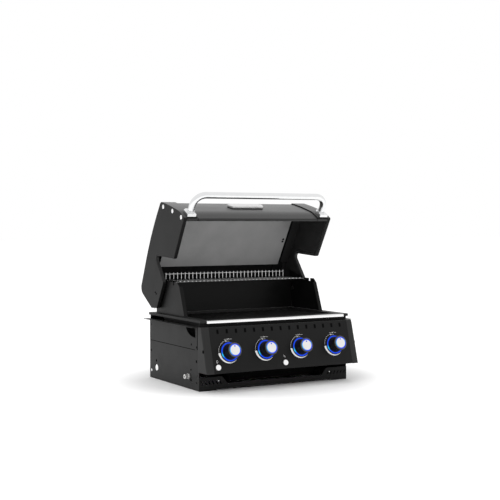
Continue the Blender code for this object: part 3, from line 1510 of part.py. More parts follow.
def main():
    clear_scene()
    black = paint("black_powder_coat", (0.030, 0.030, 0.031), 0.0, 0.55)
    cast = paint("cast_black", (0.016, 0.016, 0.016), 0.1, 0.60)
    plastic = paint("black_plastic", (0.012, 0.012, 0.013), 0.0, 0.35)
    steel = paint("plain_steel", (0.42, 0.42, 0.42), 1.0, 0.40)
    liner_paint = paint("satin_liner_steel", (0.30, 0.30, 0.30), 1.0, 0.45)
    shell_paint = paint("gloss_black_enamel", (0.020, 0.020, 0.021), 0.0, 0.18)
    chrome = paint("bright_chrome", (0.86, 0.86, 0.87), 1.0, 0.10)
    brass = paint("valve_brass", (0.55, 0.42, 0.20), 1.0, 0.35)
    datum = datum_empty("grill_datum", (0.0, 0.0, 0.0))
    hinge = datum_empty("lid_hinge", (0.0, PIVOT_Y, PIVOT_Z), datum, -LID_OPEN)
    build_cabinet(datum, black, steel)
    build_controls(datum, black, plastic, brass, chrome, steel)
    build_firebox(datum, cast, black, steel, chrome)
    build_lid(hinge, shell_paint, black, liner_paint, chrome)
    centre_over_origin(datum)


main()
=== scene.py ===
"""The finished look of the built-in gas grill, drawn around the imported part.

Lengths are metres in the part's own axes: X to the grill's right, Y to its rear, Z up.
"""

import json
import math

import bmesh
import bpy
from mathutils import Matrix, Vector


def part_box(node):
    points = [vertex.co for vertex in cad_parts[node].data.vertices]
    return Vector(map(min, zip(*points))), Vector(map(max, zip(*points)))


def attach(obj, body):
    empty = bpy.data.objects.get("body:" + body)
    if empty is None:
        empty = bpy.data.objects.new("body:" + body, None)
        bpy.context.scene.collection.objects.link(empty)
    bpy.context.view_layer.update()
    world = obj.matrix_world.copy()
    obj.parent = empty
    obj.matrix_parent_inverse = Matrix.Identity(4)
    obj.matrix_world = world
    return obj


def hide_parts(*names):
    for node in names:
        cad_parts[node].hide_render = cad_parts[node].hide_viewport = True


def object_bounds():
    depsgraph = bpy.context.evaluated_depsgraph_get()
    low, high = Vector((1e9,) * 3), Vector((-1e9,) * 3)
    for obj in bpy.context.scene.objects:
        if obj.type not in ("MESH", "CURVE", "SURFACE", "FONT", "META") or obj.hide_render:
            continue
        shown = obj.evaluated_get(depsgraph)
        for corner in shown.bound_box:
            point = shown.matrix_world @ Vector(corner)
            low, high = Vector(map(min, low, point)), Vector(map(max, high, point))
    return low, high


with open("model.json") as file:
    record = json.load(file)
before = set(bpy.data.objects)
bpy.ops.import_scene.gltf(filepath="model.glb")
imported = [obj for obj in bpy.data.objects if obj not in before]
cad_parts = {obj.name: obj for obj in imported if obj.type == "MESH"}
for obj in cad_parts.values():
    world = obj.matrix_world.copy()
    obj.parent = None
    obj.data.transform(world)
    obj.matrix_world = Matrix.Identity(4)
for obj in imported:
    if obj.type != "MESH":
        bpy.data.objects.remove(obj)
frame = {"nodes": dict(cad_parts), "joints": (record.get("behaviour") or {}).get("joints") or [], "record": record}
CAD_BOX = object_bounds()
JOINTS = {joint["name"]: joint for joint in frame["joints"]}
SIDES = {"left": -1, "right": 1}

# The camera that took the photograph
CAMERA_SPOT = Vector((-2.0506, -3.5790, 0.6111))
CAMERA_FORWARD = Vector((0.4975, 0.8671, -0.0256))
CAMERA_LENS = 75.64
CAMERA_REACH = 100.0

# Strength of the surroundings: for matt light, and where they are seen or mirrored
WORLD_SOFT = 0.86
WORLD_SEEN = 1.0

# Lamps: each one's place, size and power, and the point that all are aimed at
LAMP_AIM = (0.0, 0.0, 0.35)
LAMPS = {
    "key_light": ((-2.2, -2.0, 2.6), 2.2, 22.0),
    "fill_light": ((2.4, -2.4, 1.6), 2.0, 6.0),
    "top_light": ((0.0, 0.6, 3.2), 2.4, 14.0),
}

# Floor: its paint, its size, how far it lies under the grill, and how it brightens away from it
FLOOR_TONES = (0.965, 0.975)
FLOOR_CLOUD = 1.5
FLOOR_SIZE = 30.0
FLOOR_CELLS = 8
FLOOR_GAP = 0.0002
FLOOR_LIFT = 0.27
FLOOR_LIFT_FROM = 0.38
FLOOR_LIFT_TO = 0.62

# Smooth shading, softened edges by kind of piece, and how finely round shapes are cut
CREASE = math.radians(32)
EDGE_SHEET = 0.0004
EDGE_PLATE = 0.0006
EDGE_CAST = 0.0014
EDGE_CAP = 0.0014
BADGE_ROUND = 0.0030
WELD = 0.00001
FLAT = math.radians(0.4)
ARC_STEP = math.radians(12)
BAND_STEP = math.radians(3)
NEARLY_ALONG = 0.9
FINE_FLATS = 96
FASTENER_FLATS = 32

# Screw heads, as shares of their height, socket and radius
HEAD_EDGE = 0.45
HEAD_EDGE_ROUND = 0.4
HEAD_CROWN = 1.5
HEAD_CROWN_ROUND = 0.3
SOCKET_FLOOR = 0.35
SOCKET_WIDTH = 0.8
SIX_SIDES = math.pi / 3

# Surface patterns: scale and detail of clouds and grain, the part of a noise that is used, and
# the colour of a band of painted shade
COAT_CLOUD = (14.0, 5.0)
METAL_CLOUD = (11.0, 3.0)
COAT_GRAIN_DETAIL = 3.0
METAL_GRAIN_DETAIL = 4.0
NOISE_FROM = 0.3
NOISE_TO = 0.7
SHADE_BAND_BLACK = (0.0005, 0.0005, 0.0005, 1.0)

# Places of the colour inputs and the colour output among a mix node's sockets
MIX_FIRST = 6
MIX_SECOND = 7
MIX_RESULT = 2

# The control panel's face: knobs with a painted highlight on their rims, lit rings, buttons, print, and vents with
# painted shade over them
PANEL_SPOT = Vector(JOINTS["valve_1_turn"]["pos_m"])
PANEL_OUT = Vector(JOINTS["valve_1_turn"]["axis"])
PANEL_UP = Vector((0.0, PANEL_OUT.z, -PANEL_OUT.y))
KNOB_XS = [JOINTS[f"valve_{number}_turn"]["pos_m"][0] for number in range(1, 5)]
KNOB_BORE = 0.0043
KNOB_BORE_DEPTH = 0.0275
KNOB_HUB = 0.0120
KNOB_HUB_DROP = 0.0020
KNOB_ROUND = 0.0026
KNOB_RIM_ROUND = 0.0008
KNOB_HIGHLIGHT_DEPTH = 0.0030
FACE_RING = 0.0228
FACE_DISC = 0.0188
FACE_SINK = 0.0010
FACE_DOT = 0.0027
FACE_DOT_PLACE = 0.0140
RING_INNER = 0.0300
RING_OUTER = 0.0350
RING_SINK = 0.0010
BEZEL_EDGE = 0.0009
BUTTON_ROUND = 0.0014
BUTTON_DISH = 0.0004
BUTTON_DISH_REACH = 0.7
BUTTON_DISH_ROUND = 0.4
BUTTON_CREASE = math.radians(50)
PRINT_LIFT = 0.00008
PRINT_THICKNESS = 0.00012
WEDGE_INNER = 0.0376
WEDGE_OUTER = 0.0462
WEDGE_START = math.radians(183)
WEDGE_STOP = math.radians(316)
WEDGE_TAPER = 0.88
SCALE_RADIUS = 0.0436
SCALE_WIDTH = 0.0006
SCALE_START = math.radians(98)
SCALE_STOP = math.radians(179)
OFF_WORD = "OFF"
OFF_RISE = 0.0470
OFF_SIZE = 0.0055
OFF_LINES = ((-0.0150, -0.0072), (0.0072, 0.0150))
OFF_LINE_WIDTH = 0.0021
MARK_RISE = 0.0398
MARK_PLACE = -0.0092
MARK_SIZE = 0.0019
MARK_LINE = (-0.0050, 0.0034)
PICTOGRAM = 0.0036
LINE_WIDTH = 0.0008
BULB_RISE = 0.0226
BULB_START = math.radians(-58)
BULB_STOP = math.radians(238)
BULB_FOOT = 0.45
BULB_FOOT_RISES = (1.15, 1.5)
SPARK_RISE = 0.0247
SPARK_POINTS = ((-0.9, 1.2), (0.1, 0.1), (-0.35, -0.05), (0.9, -1.2))
VENT_COUNT = 15
VENT_SLOPE = 0.0761
VENT_SHADE_WIDTH = 0.0084
VENT_SHADE_HEIGHT = 0.0155

# Blue light: its tones, the direction of the lamp in each ring, and how wide its bright spot is
LAMP_TURN = math.radians(200)
LAMP_WIDTH = 0.22
RING_BLUE = (0.006, 0.070, 0.90)
RING_SPOT = (0.02, 0.55)
RING_FAR = 0.75
RING_FADE = 1.6
FACE_BLUE = (0.008, 0.075, 0.92)
FACE_SPOT = (0.06, 0.40)
FACE_SPOTS = ((math.radians(190), 0.7, 1.0), (math.radians(20), 0.3, 0.6))
DOT_BLUE = (0.02, 0.07, 0.75)
UNLIT_BLUE = (0.004, 0.006, 0.02, 1.0)
HAZE_SCALE = 260.0
HAZE = (0.93, 1.07)

# Lid. Spots are counted from the pivot on the closed lid; a band of painted shade is its place and half its width
PIVOT = Vector(JOINTS["lid_hinge"]["pos_m"])
OPEN_TURN = Matrix.Rotation(math.radians(-JOINTS["lid_hinge"]["range_deg"][1]), 3, "X")
HANDLE_BEND = 0.046
HANDLE_FLATS = 64
FACING = 0.5
LID_SEAM_SHADE = (0.2667, 0.0013)
LINER_EDGE_SHADE = (0.2820, 0.0045)
BOLT_SPOTS = ((-0.325, 0.1115), (-0.352, 0.0330), (-0.370, -0.0430))
CAP_SCREW_SPOTS = ((0.0, 0.0047), (0.0, -0.0060))
LINER_SCREW_YS = (-0.1705, -0.1596)
LINER_SCREW_INSET = 0.0120
LINER_GAUGE = 0.0015

# Heads: radius, height and half the socket's width of each
BOLT = (0.0086, 0.0028, 0.0027)
CAP_SCREW = (0.0034, 0.0016, 0.0013)
LINER_SCREW = (0.0047, 0.0016, 0.0020)
BASE_SCREW = (0.0026, 0.0012, 0.0010)
END_SCREW = (0.0062, 0.0010, 0.0026)
SIDE_SCREW_LARGE = (0.0054, 0.0010, 0.0024)
SIDE_SCREW_SMALL = (0.0038, 0.0008, 0.0016)

# Cabinet: spots of its screws, the strips of painted shade at the seams of its sides and the opening in its rear
# panel
BASE_SCREW_X = 0.2440
BASE_SCREW_RISE = 0.0345
END_SCREW_SPOT = (-0.2428, 0.1495)
SIDE_SCREWS_LARGE = ((0.2190, 0.1089), (0.1683, 0.0726), (-0.1796, 0.1074), (-0.1340, 0.0347))
SIDE_SCREWS_SMALL = (
    (0.2225, 0.1613),
    (-0.1377, 0.1662),
    (-0.1797, 0.1591),
    (-0.1333, 0.0722),
    (-0.1793, 0.0292),
)
SIDE_SCREW_BRIGHT = (0.2118, 0.0305)
SEAM_SHADE_WIDTH = 0.0024
SEAM_SHADE_LIFT = 0.00012
SEAM_SHADE_FRONT = -0.1690
FOLD_SHADE = (-0.1895, -0.1830)
REAR_WINDOW = (-0.2971, 0.0372)
REAR_WINDOW_RADIUS = 0.0130

# Warming rack, cooking grates and burner ports
RACK_WIRE = 0.0015
RACK_RAIL = 0.0024
RACK_COUNT = 33
RACK_BEND = 0.006
RACK_BAR = 0.0018
RACK_BEAD = 0.0031
RACK_ROD = 0.0015
RACK_ROD_DROP = 0.0070
RACK_SIDE = 0.019
WIRE_FLATS = 16
GRATE_BARS = 13
GRATE_BAR = 0.0092
GRATE_SHOULDER = 0.0090
GRATE_SHOULDER_ROUND = 0.0012
GRATE_FOOT_ROUND = 0.0006
GRATE_TOP = 0.0012
GRATE_TOP_ROUND = 0.9
GRATE_TIP = 0.004
GRATE_TIP_SIZES = (0.80, 0.93)
GRATE_MEMBER = 0.45
GRATE_MEMBER_ROUND = 0.001
GRATE_INSET = 0.0065
PORT_RADIUS = 0.0011
PORT_SHARES = (1.0, 0.3, 0.5)
PORT_PITCH = 0.011
PORT_START = 0.045
PORT_MARGIN = 0.06
PORT_RISE = math.radians(25)


# Outlines and solids

def opened(x, y, z):
    """A point of the closed lid, Y and Z counted from the pivot, as it lies with the lid open."""
    return PIVOT + OPEN_TURN @ Vector((x, y, z))


def closed_box(node):
    """The box of a lid node as if the lid were shut, Y and Z counted from the pivot."""
    back = OPEN_TURN.inverted()
    points = [back @ (vertex.co - PIVOT) for vertex in frame["nodes"][node].data.vertices]
    low = Vector([min(point[axis] for point in points) for axis in range(3)])
    high = Vector([max(point[axis] for point in points) for axis in range(3)])
    return low, high


def on_panel(x, slope, height):
    """A point over the control panel's face, counted up its slope from the knobs' middle line."""
    return Vector((x, PANEL_SPOT.y, PANEL_SPOT.z)) + PANEL_UP * slope + PANEL_OUT * height


def levels(node):
    """How far a node on the panel reaches from the panel's face, low and high."""
    reaches = [(vertex.co - PANEL_SPOT).dot(PANEL_OUT) for vertex in frame["nodes"][node].data.vertices]
    return min(reaches), max(reaches)


def turned_radii(node, spot):
    """The smallest and largest radius of a turned node about its axis on the panel."""
    away = [(vertex.co - spot).cross(PANEL_OUT).length for vertex in frame["nodes"][node].data.vertices]
    return min(away), max(away)


def side_face(node, sign):
    """The outer face of a node at one side of the grill."""
    low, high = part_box(node)
    return high[0] if sign > 0 else low[0]


def filleted(corners, closed=False):
    """Points of an outline, given as corners with a radius each, rounded by arcs."""
    points = []
    count = len(corners)
    for index, (first, second, radius) in enumerate(corners):
        here = Vector((first, second))
        at_end = not closed and index in (0, count - 1)
        if radius <= 0 or at_end:
            points.append(here)
            continue
        before = (Vector(corners[index - 1][:2]) - here).normalized()
        after = (Vector(corners[(index + 1) % count][:2]) - here).normalized()
        half = before.angle(after) / 2
        cut = radius / math.tan(half)
        centre = here + (before + after).normalized() * (radius / math.sin(half))
        start = here + before * cut - centre
        sweep = (here + after * cut - centre).angle_signed(start)
        steps = max(2, round(abs(sweep) / ARC_STEP))
        for step in range(steps + 1):
            points.append(centre + Matrix.Rotation(sweep * step / steps, 2) @ start)
    return points


def across(axis):
    """Two directions square to an axis and to each other."""
    guide = PANEL_UP if abs(axis.dot(PANEL_UP)) < NEARLY_ALONG else Vector((1.0, 0.0, 0.0))
    up = (guide - axis * guide.dot(axis)).normalized()
    return up.cross(axis), up


def circle(count):
    """Directions evenly round a circle, as cosine and sine."""
    angles = [2 * math.pi * number / count for number in range(count)]
    return [(math.cos(angle), math.sin(angle)) for angle in angles]


def ring(shape, centre, side, up, radius, count):
    """A closed row of points round a centre."""
    ways = [side * cosine + up * sine for cosine, sine in circle(count)]
    return [shape.verts.new(centre + way * radius) for way in ways]


def bridge(shape, low, high):
    """Add the faces between two closed rows of points; a row may be one point over and over."""
    for number in range(len(low)):
        after = (number + 1) % len(low)
        corners = list(dict.fromkeys((low[number], low[after], high[after], high[number])))
        if len(corners) > 2:
            shape.faces.new(corners)


def loft(shape, rows):
    """Add a bar through closed rows of points, with a face on its first and last row."""
    for low, high in zip(rows, rows[1:]):
        bridge(shape, low, high)
    shape.faces.new(rows[0])
    shape.faces.new(rows[-1])
    return shape


def lathe(shape, profile, spot, axis, count=FINE_FLATS):
    """Add a turned shape: profile points are (radius, height); a ring's last point meets its first."""
    side, up = across(axis)
    rows = []
    for radius, height in profile:
        centre = spot + axis * height
        if radius < WELD:
            rows.append([shape.verts.new(centre)] * count)
        else:
            rows.append(ring(shape, centre, side, up, radius, count))
    pairs = list(zip(rows, rows[1:]))
    if rows[0][0] is not rows[0][1] or rows[-1][0] is not rows[-1][1]:
        pairs.append((rows[-1], rows[0]))
    for low, high in pairs:
        bridge(shape, low, high)
    return shape


def pipe(shape, path, radius, count=WIRE_FLATS, rounding=0.0):
    """Add a round bar along a path, its ends closed and, where asked, rounded off."""
    tangents = []
    for index in range(len(path)):
        before = path[max(index - 1, 0)]
        after = path[min(index + 1, len(path) - 1)]
        tangents.append((after - before).normalized())
    _, up = across(tangents[0])
    sections = []
    for point, tangent in zip(path, tangents):
        up = (up - tangent * up.dot(tangent)).normalized()
        sections.append((point, up.cross(tangent), up, radius))
    if rounding:
        first = (path[0] - tangents[0] * rounding, *sections[0][1:3], radius - rounding)
        last = (path[-1] + tangents[-1] * rounding, *sections[-1][1:3], radius - rounding)
        sections = [first, *sections, last]
    return loft(shape, [ring(shape, *section, count) for section in sections])


def slab(shape, outline, place, low, high):
    """Add a closed plate: an outline of two-part points, set out by place(first, second, height)."""
    rows = [[shape.verts.new(place(*point, level)) for point in outline] for level in (low, high)]
    return loft(shape, rows)


def arc_band(inner, outer, start, stop, taper=0.0):
    """The outline of a band round a centre; taper is how much of its width it loses by its end."""
    steps = max(3, round(abs(stop - start) / BAND_STEP))
    outside, inside = [], []
    for step in range(steps + 1):
        share = step / steps
        angle = start + (stop - start) * share
        reach = inner + (outer - inner) * (1 - taper * share)
        outside.append((reach * math.cos(angle), reach * math.sin(angle)))
        inside.append((inner * math.cos(angle), inner * math.sin(angle)))
    return outside + inside[::-1]


def disc(radius):
    """The outline of a round mark."""
    return [(radius * cosine, radius * sine) for cosine, sine in circle(WIRE_FLATS)]


# Finished pieces

def body_holding(node):
    """The name of the body that a CAD node belongs to."""
    bodies = frame["record"]["behaviour"]["bodies"]
    return next(name for name, nodes in bodies.items() if node in nodes)


def baked(shape, name):
    """The plain mesh of a drawn shape, its faces turned outwards."""
    bmesh.ops.recalc_face_normals(shape, faces=shape.faces)
    mesh = bpy.data.meshes.new(name)
    shape.to_mesh(mesh)
    shape.free()
    return mesh


def shade(mesh, crease=CREASE):
    """Smooth the faces, with sharp edges where they meet at more than a crease."""
    for face in mesh.polygons:
        face.use_smooth = True
    mesh.set_sharp_from_angle(angle=crease)


def placed(name, data):
    """A new object in the scene that carries a mesh, a text, a lamp or a camera."""
    thing = bpy.data.objects.new(name, data)
    bpy.context.scene.collection.objects.link(thing)
    return thing


def show(name, mesh, body, stands_for=()):
    """Put a finished mesh in the scene as a piece that rides on a body."""
    piece = placed(name, mesh)
    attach(piece, body)
    if stands_for:
        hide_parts(*stands_for)
    return piece


def finished(name, shape, material, body, stands_for=(), crease=CREASE):
    """Turn a drawn shape into a finished piece."""
    mesh = baked(shape, name)
    mesh.materials.append(material)
    shade(mesh, crease)
    return show(name, mesh, body, stands_for)


def evaluated(holder):
    """The plain mesh that an object's modifiers make; the object itself goes."""
    depsgraph = bpy.context.evaluated_depsgraph_get()
    depsgraph.update()
    mesh = bpy.data.meshes.new_from_object(holder.evaluated_get(depsgraph), depsgraph=depsgraph)
    source = holder.data
    bpy.data.objects.remove(holder)
    if source and not source.users:
        bpy.data.meshes.remove(source)
    return mesh


def holder_for(mesh):
    """A helper object that carries a mesh while its modifiers are worked out."""
    return placed("work", mesh)


def softened(node, width, material, segments=2, crease=CREASE, joined=True, cutter=None):
    """Show a CAD node by a copy with rounded edges, its flat faces joined unless they have holes."""
    shape = bmesh.new()
    shape.from_mesh(frame["nodes"][node].data)
    bmesh.ops.remove_doubles(shape, verts=shape.verts, dist=WELD)
    if joined:
        bmesh.ops.dissolve_limit(shape, angle_limit=FLAT, verts=shape.verts, edges=shape.edges)
    mesh = baked(shape, node)
    mesh.materials.append(material)
    for face in mesh.polygons:
        face.use_smooth = True
    holder = holder_for(mesh)
    if cutter:
        opening = holder.modifiers.new("opening", "BOOLEAN")
        opening.object = cutter
        opening.operation = "DIFFERENCE"
    bevel = holder.modifiers.new("edges", "BEVEL")
    bevel.width = width
    bevel.segments = segments
    bevel.limit_method = "ANGLE"
    bevel.angle_limit = crease
    bevel.use_clamp_overlap = False
    holder.modifiers.new("normals", "WEIGHTED_NORMAL").keep_sharp = True
    return show(f"{node}_finish", evaluated(holder), body_holding(node), [node])


# Geometry trees for what repeats

def new_tree(name, sockets):
    """An empty geometry tree with its own named inputs."""
    tree = bpy.data.node_groups.new(name, "GeometryNodeTree")
    tree.interface.new_socket("Geometry", in_out="INPUT", socket_type="NodeSocketGeometry")
    for label, kind in sockets.items():
        tree.interface.new_socket(label, in_out="INPUT", socket_type=f"NodeSocket{kind}")
    tree.interface.new_socket("Geometry", in_out="OUTPUT", socket_type="NodeSocketGeometry")
    return tree, tree.nodes.new("NodeGroupInput"), tree.nodes.new("NodeGroupOutput")


def supply(tree, node, inputs):
    """Give a node's inputs their values, or the outputs of other nodes."""
    for name, value in inputs.items():
        socket = node.inputs[name]
        if isinstance(value, bpy.types.NodeSocket):
            tree.links.new(value, socket)
        else:
            socket.default_value = value


def node_in(tree, kind, inputs=None, **settings):
    """Add a node with its own settings and its inputs."""
    node = tree.nodes.new(kind)
    for name, value in settings.items():
        setattr(node, name, value)
    supply(tree, node, inputs or {})
    return node


def close_tree(tree, end, geometry, material):
    """Realize what the tree made and give it its material."""
    real = node_in(tree, "GeometryNodeRealizeInstances", {"Geometry": geometry})
    feed = {"Geometry": real.outputs["Geometry"], "Material": material}
    painted = node_in(tree, "GeometryNodeSetMaterial", feed)
    tree.links.new(painted.outputs["Geometry"], end.inputs["Geometry"])
    return tree


def close_row(tree, start, end, piece):
    """Repeat a piece along a straight row, by the tree's inputs Count and Step, and close the tree."""
    feed = {"Count": start.outputs["Count"], "Offset": start.outputs["Step"]}
    line = node_in(tree, "GeometryNodeMeshLine", feed)
    feed = {"Points": line.outputs["Mesh"], "Instance": piece}
    row = node_in(tree, "GeometryNodeInstanceOnPoints", feed)
    return close_tree(tree, end, row.outputs["Instances"], start.outputs["Material"])


def row_tree():
    """Repeats the input piece along a straight row."""
    sockets = {"Count": "Int", "Step": "Vector", "Material": "Material"}
    tree, start, end = new_tree("row_of_pieces", sockets)
    return close_row(tree, start, end, start.outputs["Geometry"])


def wire_tree():
    """Makes a wire with a beaded end from the input path and repeats it along a straight row."""
    sizes = {"Wire Radius": "Float", "Bead Radius": "Float"}
    sockets = {"Count": "Int", "Step": "Vector", **sizes, "Material": "Material"}
    tree, start, end = new_tree("row_of_wires", sockets)
    path = node_in(tree, "GeometryNodeMeshToCurve", {"Mesh": start.outputs["Geometry"]}).outputs["Curve"]
    feed = {"Resolution": WIRE_FLATS, "Radius": start.outputs["Wire Radius"]}
    section = node_in(tree, "GeometryNodeCurvePrimitiveCircle", feed)
    feed = {"Curve": path, "Profile Curve": section.outputs["Curve"], "Fill Caps": True}
    wire = node_in(tree, "GeometryNodeCurveToMesh", feed)
    first = node_in(tree, "GeometryNodeCurveEndpointSelection", {"Start Size": 1, "End Size": 0})
    feed = {"Segments": WIRE_FLATS, "Rings": WIRE_FLATS // 2, "Radius": start.outputs["Bead Radius"]}
    bead = node_in(tree, "GeometryNodeMeshUVSphere", feed)
    feed = {"Points": path, "Selection": first.outputs["Selection"], "Instance": bead.outputs["Mesh"]}
    beads = node_in(tree, "GeometryNodeInstanceOnPoints", feed)
    whole = node_in(tree, "GeometryNodeJoinGeometry")
    tree.links.new(wire.outputs["Mesh"], whole.inputs["Geometry"])
    tree.links.new(beads.outputs["Instances"], whole.inputs["Geometry"])
    return close_row(tree, start, end, whole.outputs["Geometry"])


def mark_tree():
    """Sets one fastener on each input point, its axis along the point's outward direction."""
    tree, start, end = new_tree("set_on_marks", {"Fastener": "Object", "Material": "Material"})
    head = node_in(tree, "GeometryNodeObjectInfo", {"Object": start.outputs["Fastener"]})
    named = "GeometryNodeInputNamedAttribute"
    outward = node_in(tree, named, {"Name": "outward"}, data_type="FLOAT_VECTOR").outputs["Attribute"]
    turn = node_in(tree, "FunctionNodeAlignRotationToVector", {"Vector": outward}, axis="Z")
    feed = {"Points": start.outputs["Geometry"], "Instance": head.outputs["Geometry"]}
    feed["Rotation"] = turn.outputs["Rotation"]
    placed = node_in(tree, "GeometryNodeInstanceOnPoints", feed)
    return close_tree(tree, end, placed.outputs["Instances"], start.outputs["Material"])


def grown(mesh, tree, values):
    """Run a geometry tree on a mesh and return the plain mesh that it makes."""
    holder = holder_for(mesh)
    modifier = holder.modifiers.new("grow", "NODES")
    modifier.node_group = tree
    for item in tree.interface.items_tree:
        if item.in_out == "INPUT" and item.name in values:
            modifier[item.identifier] = values[item.name]
    return evaluated(holder)


ROW = row_tree()
WIRES = wire_tree()
MARKS = mark_tree()


def marks(points):
    """A mesh of loose points, each with its outward direction."""
    mesh = bpy.data.meshes.new("marks")
    mesh.from_pydata([place for place, _ in points], [], [])
    outward = mesh.attributes.new("outward", "FLOAT_VECTOR", "POINT")
    outward.data.foreach_set("vector", [part for _, way in points for part in way])
    return mesh


def fastener(radius, height, drive):
    """A domed screw head, its underside at zero, with a six-sided socket."""
    shape = bmesh.new()
    outline = [
        (radius, 0.0, 0.0),
        (radius, height * HEAD_EDGE, height * HEAD_EDGE_ROUND),
        (drive * HEAD_CROWN, height, height * HEAD_CROWN_ROUND),
        (drive, height, 0.0),
    ]
    profile = [(0.0, 0.0), *filleted(outline)]
    floor = height * SOCKET_FLOOR
    up = Vector((0.0, 0.0, 1.0))
    lathe(shape, [*profile, (0.0, height)], Vector(), up, FASTENER_FLATS)
    pole = max(shape.verts, key=lambda vert: (vert.co.z, -vert.co.xy.length))
    bmesh.ops.delete(shape, geom=[pole], context="VERTS")
    rim = [vert for vert in shape.verts if abs(vert.co.xy.length - drive) < WELD and vert.co.z > floor]
    rim.sort(key=lambda vert: math.atan2(vert.co.y, vert.co.x))
    under = []
    for vert in rim:
        angle = math.atan2(vert.co.y, vert.co.x) % SIX_SIDES - SIX_SIDES / 2
        reach = drive * SOCKET_WIDTH * math.cos(SIX_SIDES / 2) / math.cos(angle)
        under.append(shape.verts.new((*(vert.co.xy.normalized() * reach), floor)))
    bridge(shape, rim, under)
    shape.faces.new(under)
    mesh = baked(shape, "fastener")
    shade(mesh)
    return mesh


def drop(holder):
    """Remove a helper object and its mesh."""
    mesh = holder.data
    bpy.data.objects.remove(holder)
    bpy.data.meshes.remove(mesh)


def fasten(name, points, size, material, body):
    """Set a screw head of one size on every point and show them as one piece."""
    head = holder_for(fastener(*size))
    mesh = grown(marks(points), MARKS, {"Fastener": head, "Material": material})
    drop(head)
    return show(name, mesh, body)


# Materials

def new_material(name):
    """A material with only its output and a Principled shader, and its object coordinates."""
    material = bpy.data.materials.new(name)
    material.use_nodes = True
    tree = material.node_tree
    shader = tree.nodes["Principled BSDF"]
    place = tree.nodes.new("ShaderNodeTexCoord").outputs["Object"]
    return material, tree, shader, place


def noise(tree, place, scale, detail=2.0, squash=None):
    """Procedural noise over a place; squash stretches it along the axes."""
    if squash:
        mapped = node_in(tree, "ShaderNodeMapping", {"Vector": place, "Scale": squash})
        place = mapped.outputs["Vector"]
    feed = {"Vector": place, "Scale": scale, "Detail": detail}
    return node_in(tree, "ShaderNodeTexNoise", feed).outputs["Fac"]


def spread(tree, value, span):
    """Map the middle of a noise to a range."""
    feed = {"Value": value, "From Min": NOISE_FROM, "From Max": NOISE_TO}
    low, high = span
    ranged = node_in(tree, "ShaderNodeMapRange", {**feed, "To Min": low, "To Max": high})
    return ranged.outputs["Result"]


def tinted(tree, value, tones):
    """A colour between two tones, by a noise; a tone is one grey level or three colour levels."""
    ramp = node_in(tree, "ShaderNodeValToRGB", {"Fac": value})
    for stop, place, tone in zip(ramp.color_ramp.elements, (NOISE_FROM, NOISE_TO), tones):
        stop.position = place
        stop.color = (*tone, 1.0) if isinstance(tone, tuple) else (tone, tone, tone, 1.0)
    return ramp.outputs["Color"]


def worked(tree, operation, *values):
    """The result of one operation on values."""
    return node_in(tree, "ShaderNodeMath", dict(enumerate(values)), operation=operation).outputs[0]


def averaged(tree, first, second):
    """Halfway between two values."""
    return worked(tree, "MULTIPLY", worked(tree, "ADD", first, second), 0.5)


def bumped(tree, shader, height, relief, depth):
    """A fine relief in a shader's surface."""
    feed = {"Height": height, "Strength": relief, "Distance": depth}
    bump = node_in(tree, "ShaderNodeBump", feed)
    supply(tree, shader, {"Normal": bump.outputs["Normal"]})


def grooved(tree, shader, place, line):
    """Paint shade as a black, unreflecting band across the width of a surface: its middle and half its width, on
    both sides.
    """
    across_x = node_in(tree, "ShaderNodeSeparateXYZ", {"Vector": place}).outputs["X"]
    inside = worked(tree, "COMPARE", worked(tree, "ABSOLUTE", across_x), *line)
    colour = shader.inputs["Base Color"].links[0].from_socket
    mix = {"Factor": inside, MIX_FIRST: colour, MIX_SECOND: SHADE_BAND_BLACK}
    shaded = node_in(tree, "ShaderNodeMix", mix, data_type="RGBA").outputs[MIX_RESULT]
    supply(tree, shader, {"Base Color": shaded, "Metallic": inside})


def coat(name, tones, roughness, grain, relief, depth=0.0002, reflect=0.5, line=None):
    """A painted, moulded or cast surface: clouded colour, uneven sheen and a fine relief; where asked, a band of
    painted shade.
    """
    material, tree, shader, place = new_material(name)
    cloud = noise(tree, place, *COAT_CLOUD)
    speckle = noise(tree, place, grain, COAT_GRAIN_DETAIL)
    halfway = averaged(tree, cloud, speckle)
    colour = tinted(tree, halfway, tones)
    sheen = spread(tree, halfway, roughness)
    supply(tree, shader, {"Base Color": colour, "Roughness": sheen, "Specular IOR Level": reflect})
    bumped(tree, shader, speckle, relief, depth)
    # A band of painted shade, where one is given
    if line:
        grooved(tree, shader, place, line)
    return material


def metal(name, tones, roughness, grain, relief, squash=None, depth=0.0001):
    """A bare or plated metal: streaked colour and sheen along its grain."""
    material, tree, shader, place = new_material(name)
    streaks = noise(tree, place, grain, METAL_GRAIN_DETAIL, squash)
    cloud = noise(tree, place, *METAL_CLOUD)
    colour = tinted(tree, averaged(tree, cloud, streaks), tones)
    sheen = spread(tree, streaks, roughness)
    supply(tree, shader, {"Base Color": colour, "Roughness": sheen, "Metallic": 1.0})
    bumped(tree, shader, streaks, relief, depth)
    return material


def lit(name, roughness, relief, depth=0.0001, reflect=0.1):
    """A lit surface whose colour comes from the piece's own glow attribute."""
    material, tree, shader, place = new_material(name)
    glow = node_in(tree, "ShaderNodeAttribute", attribute_name="glow").outputs["Color"]
    haze = spread(tree, noise(tree, place, HAZE_SCALE), HAZE)
    uneven = node_in(tree, "ShaderNodeVectorMath", {0: glow, "Scale": haze}, operation="SCALE")
    light = {"Emission Color": uneven.outputs["Vector"], "Emission Strength": 1.0}
    gloss = {"Roughness": roughness, "Specular IOR Level": reflect}
    supply(tree, shader, {"Base Color": UNLIT_BLUE, **gloss, **light})
    bumped(tree, shader, haze, relief, depth)
    return material


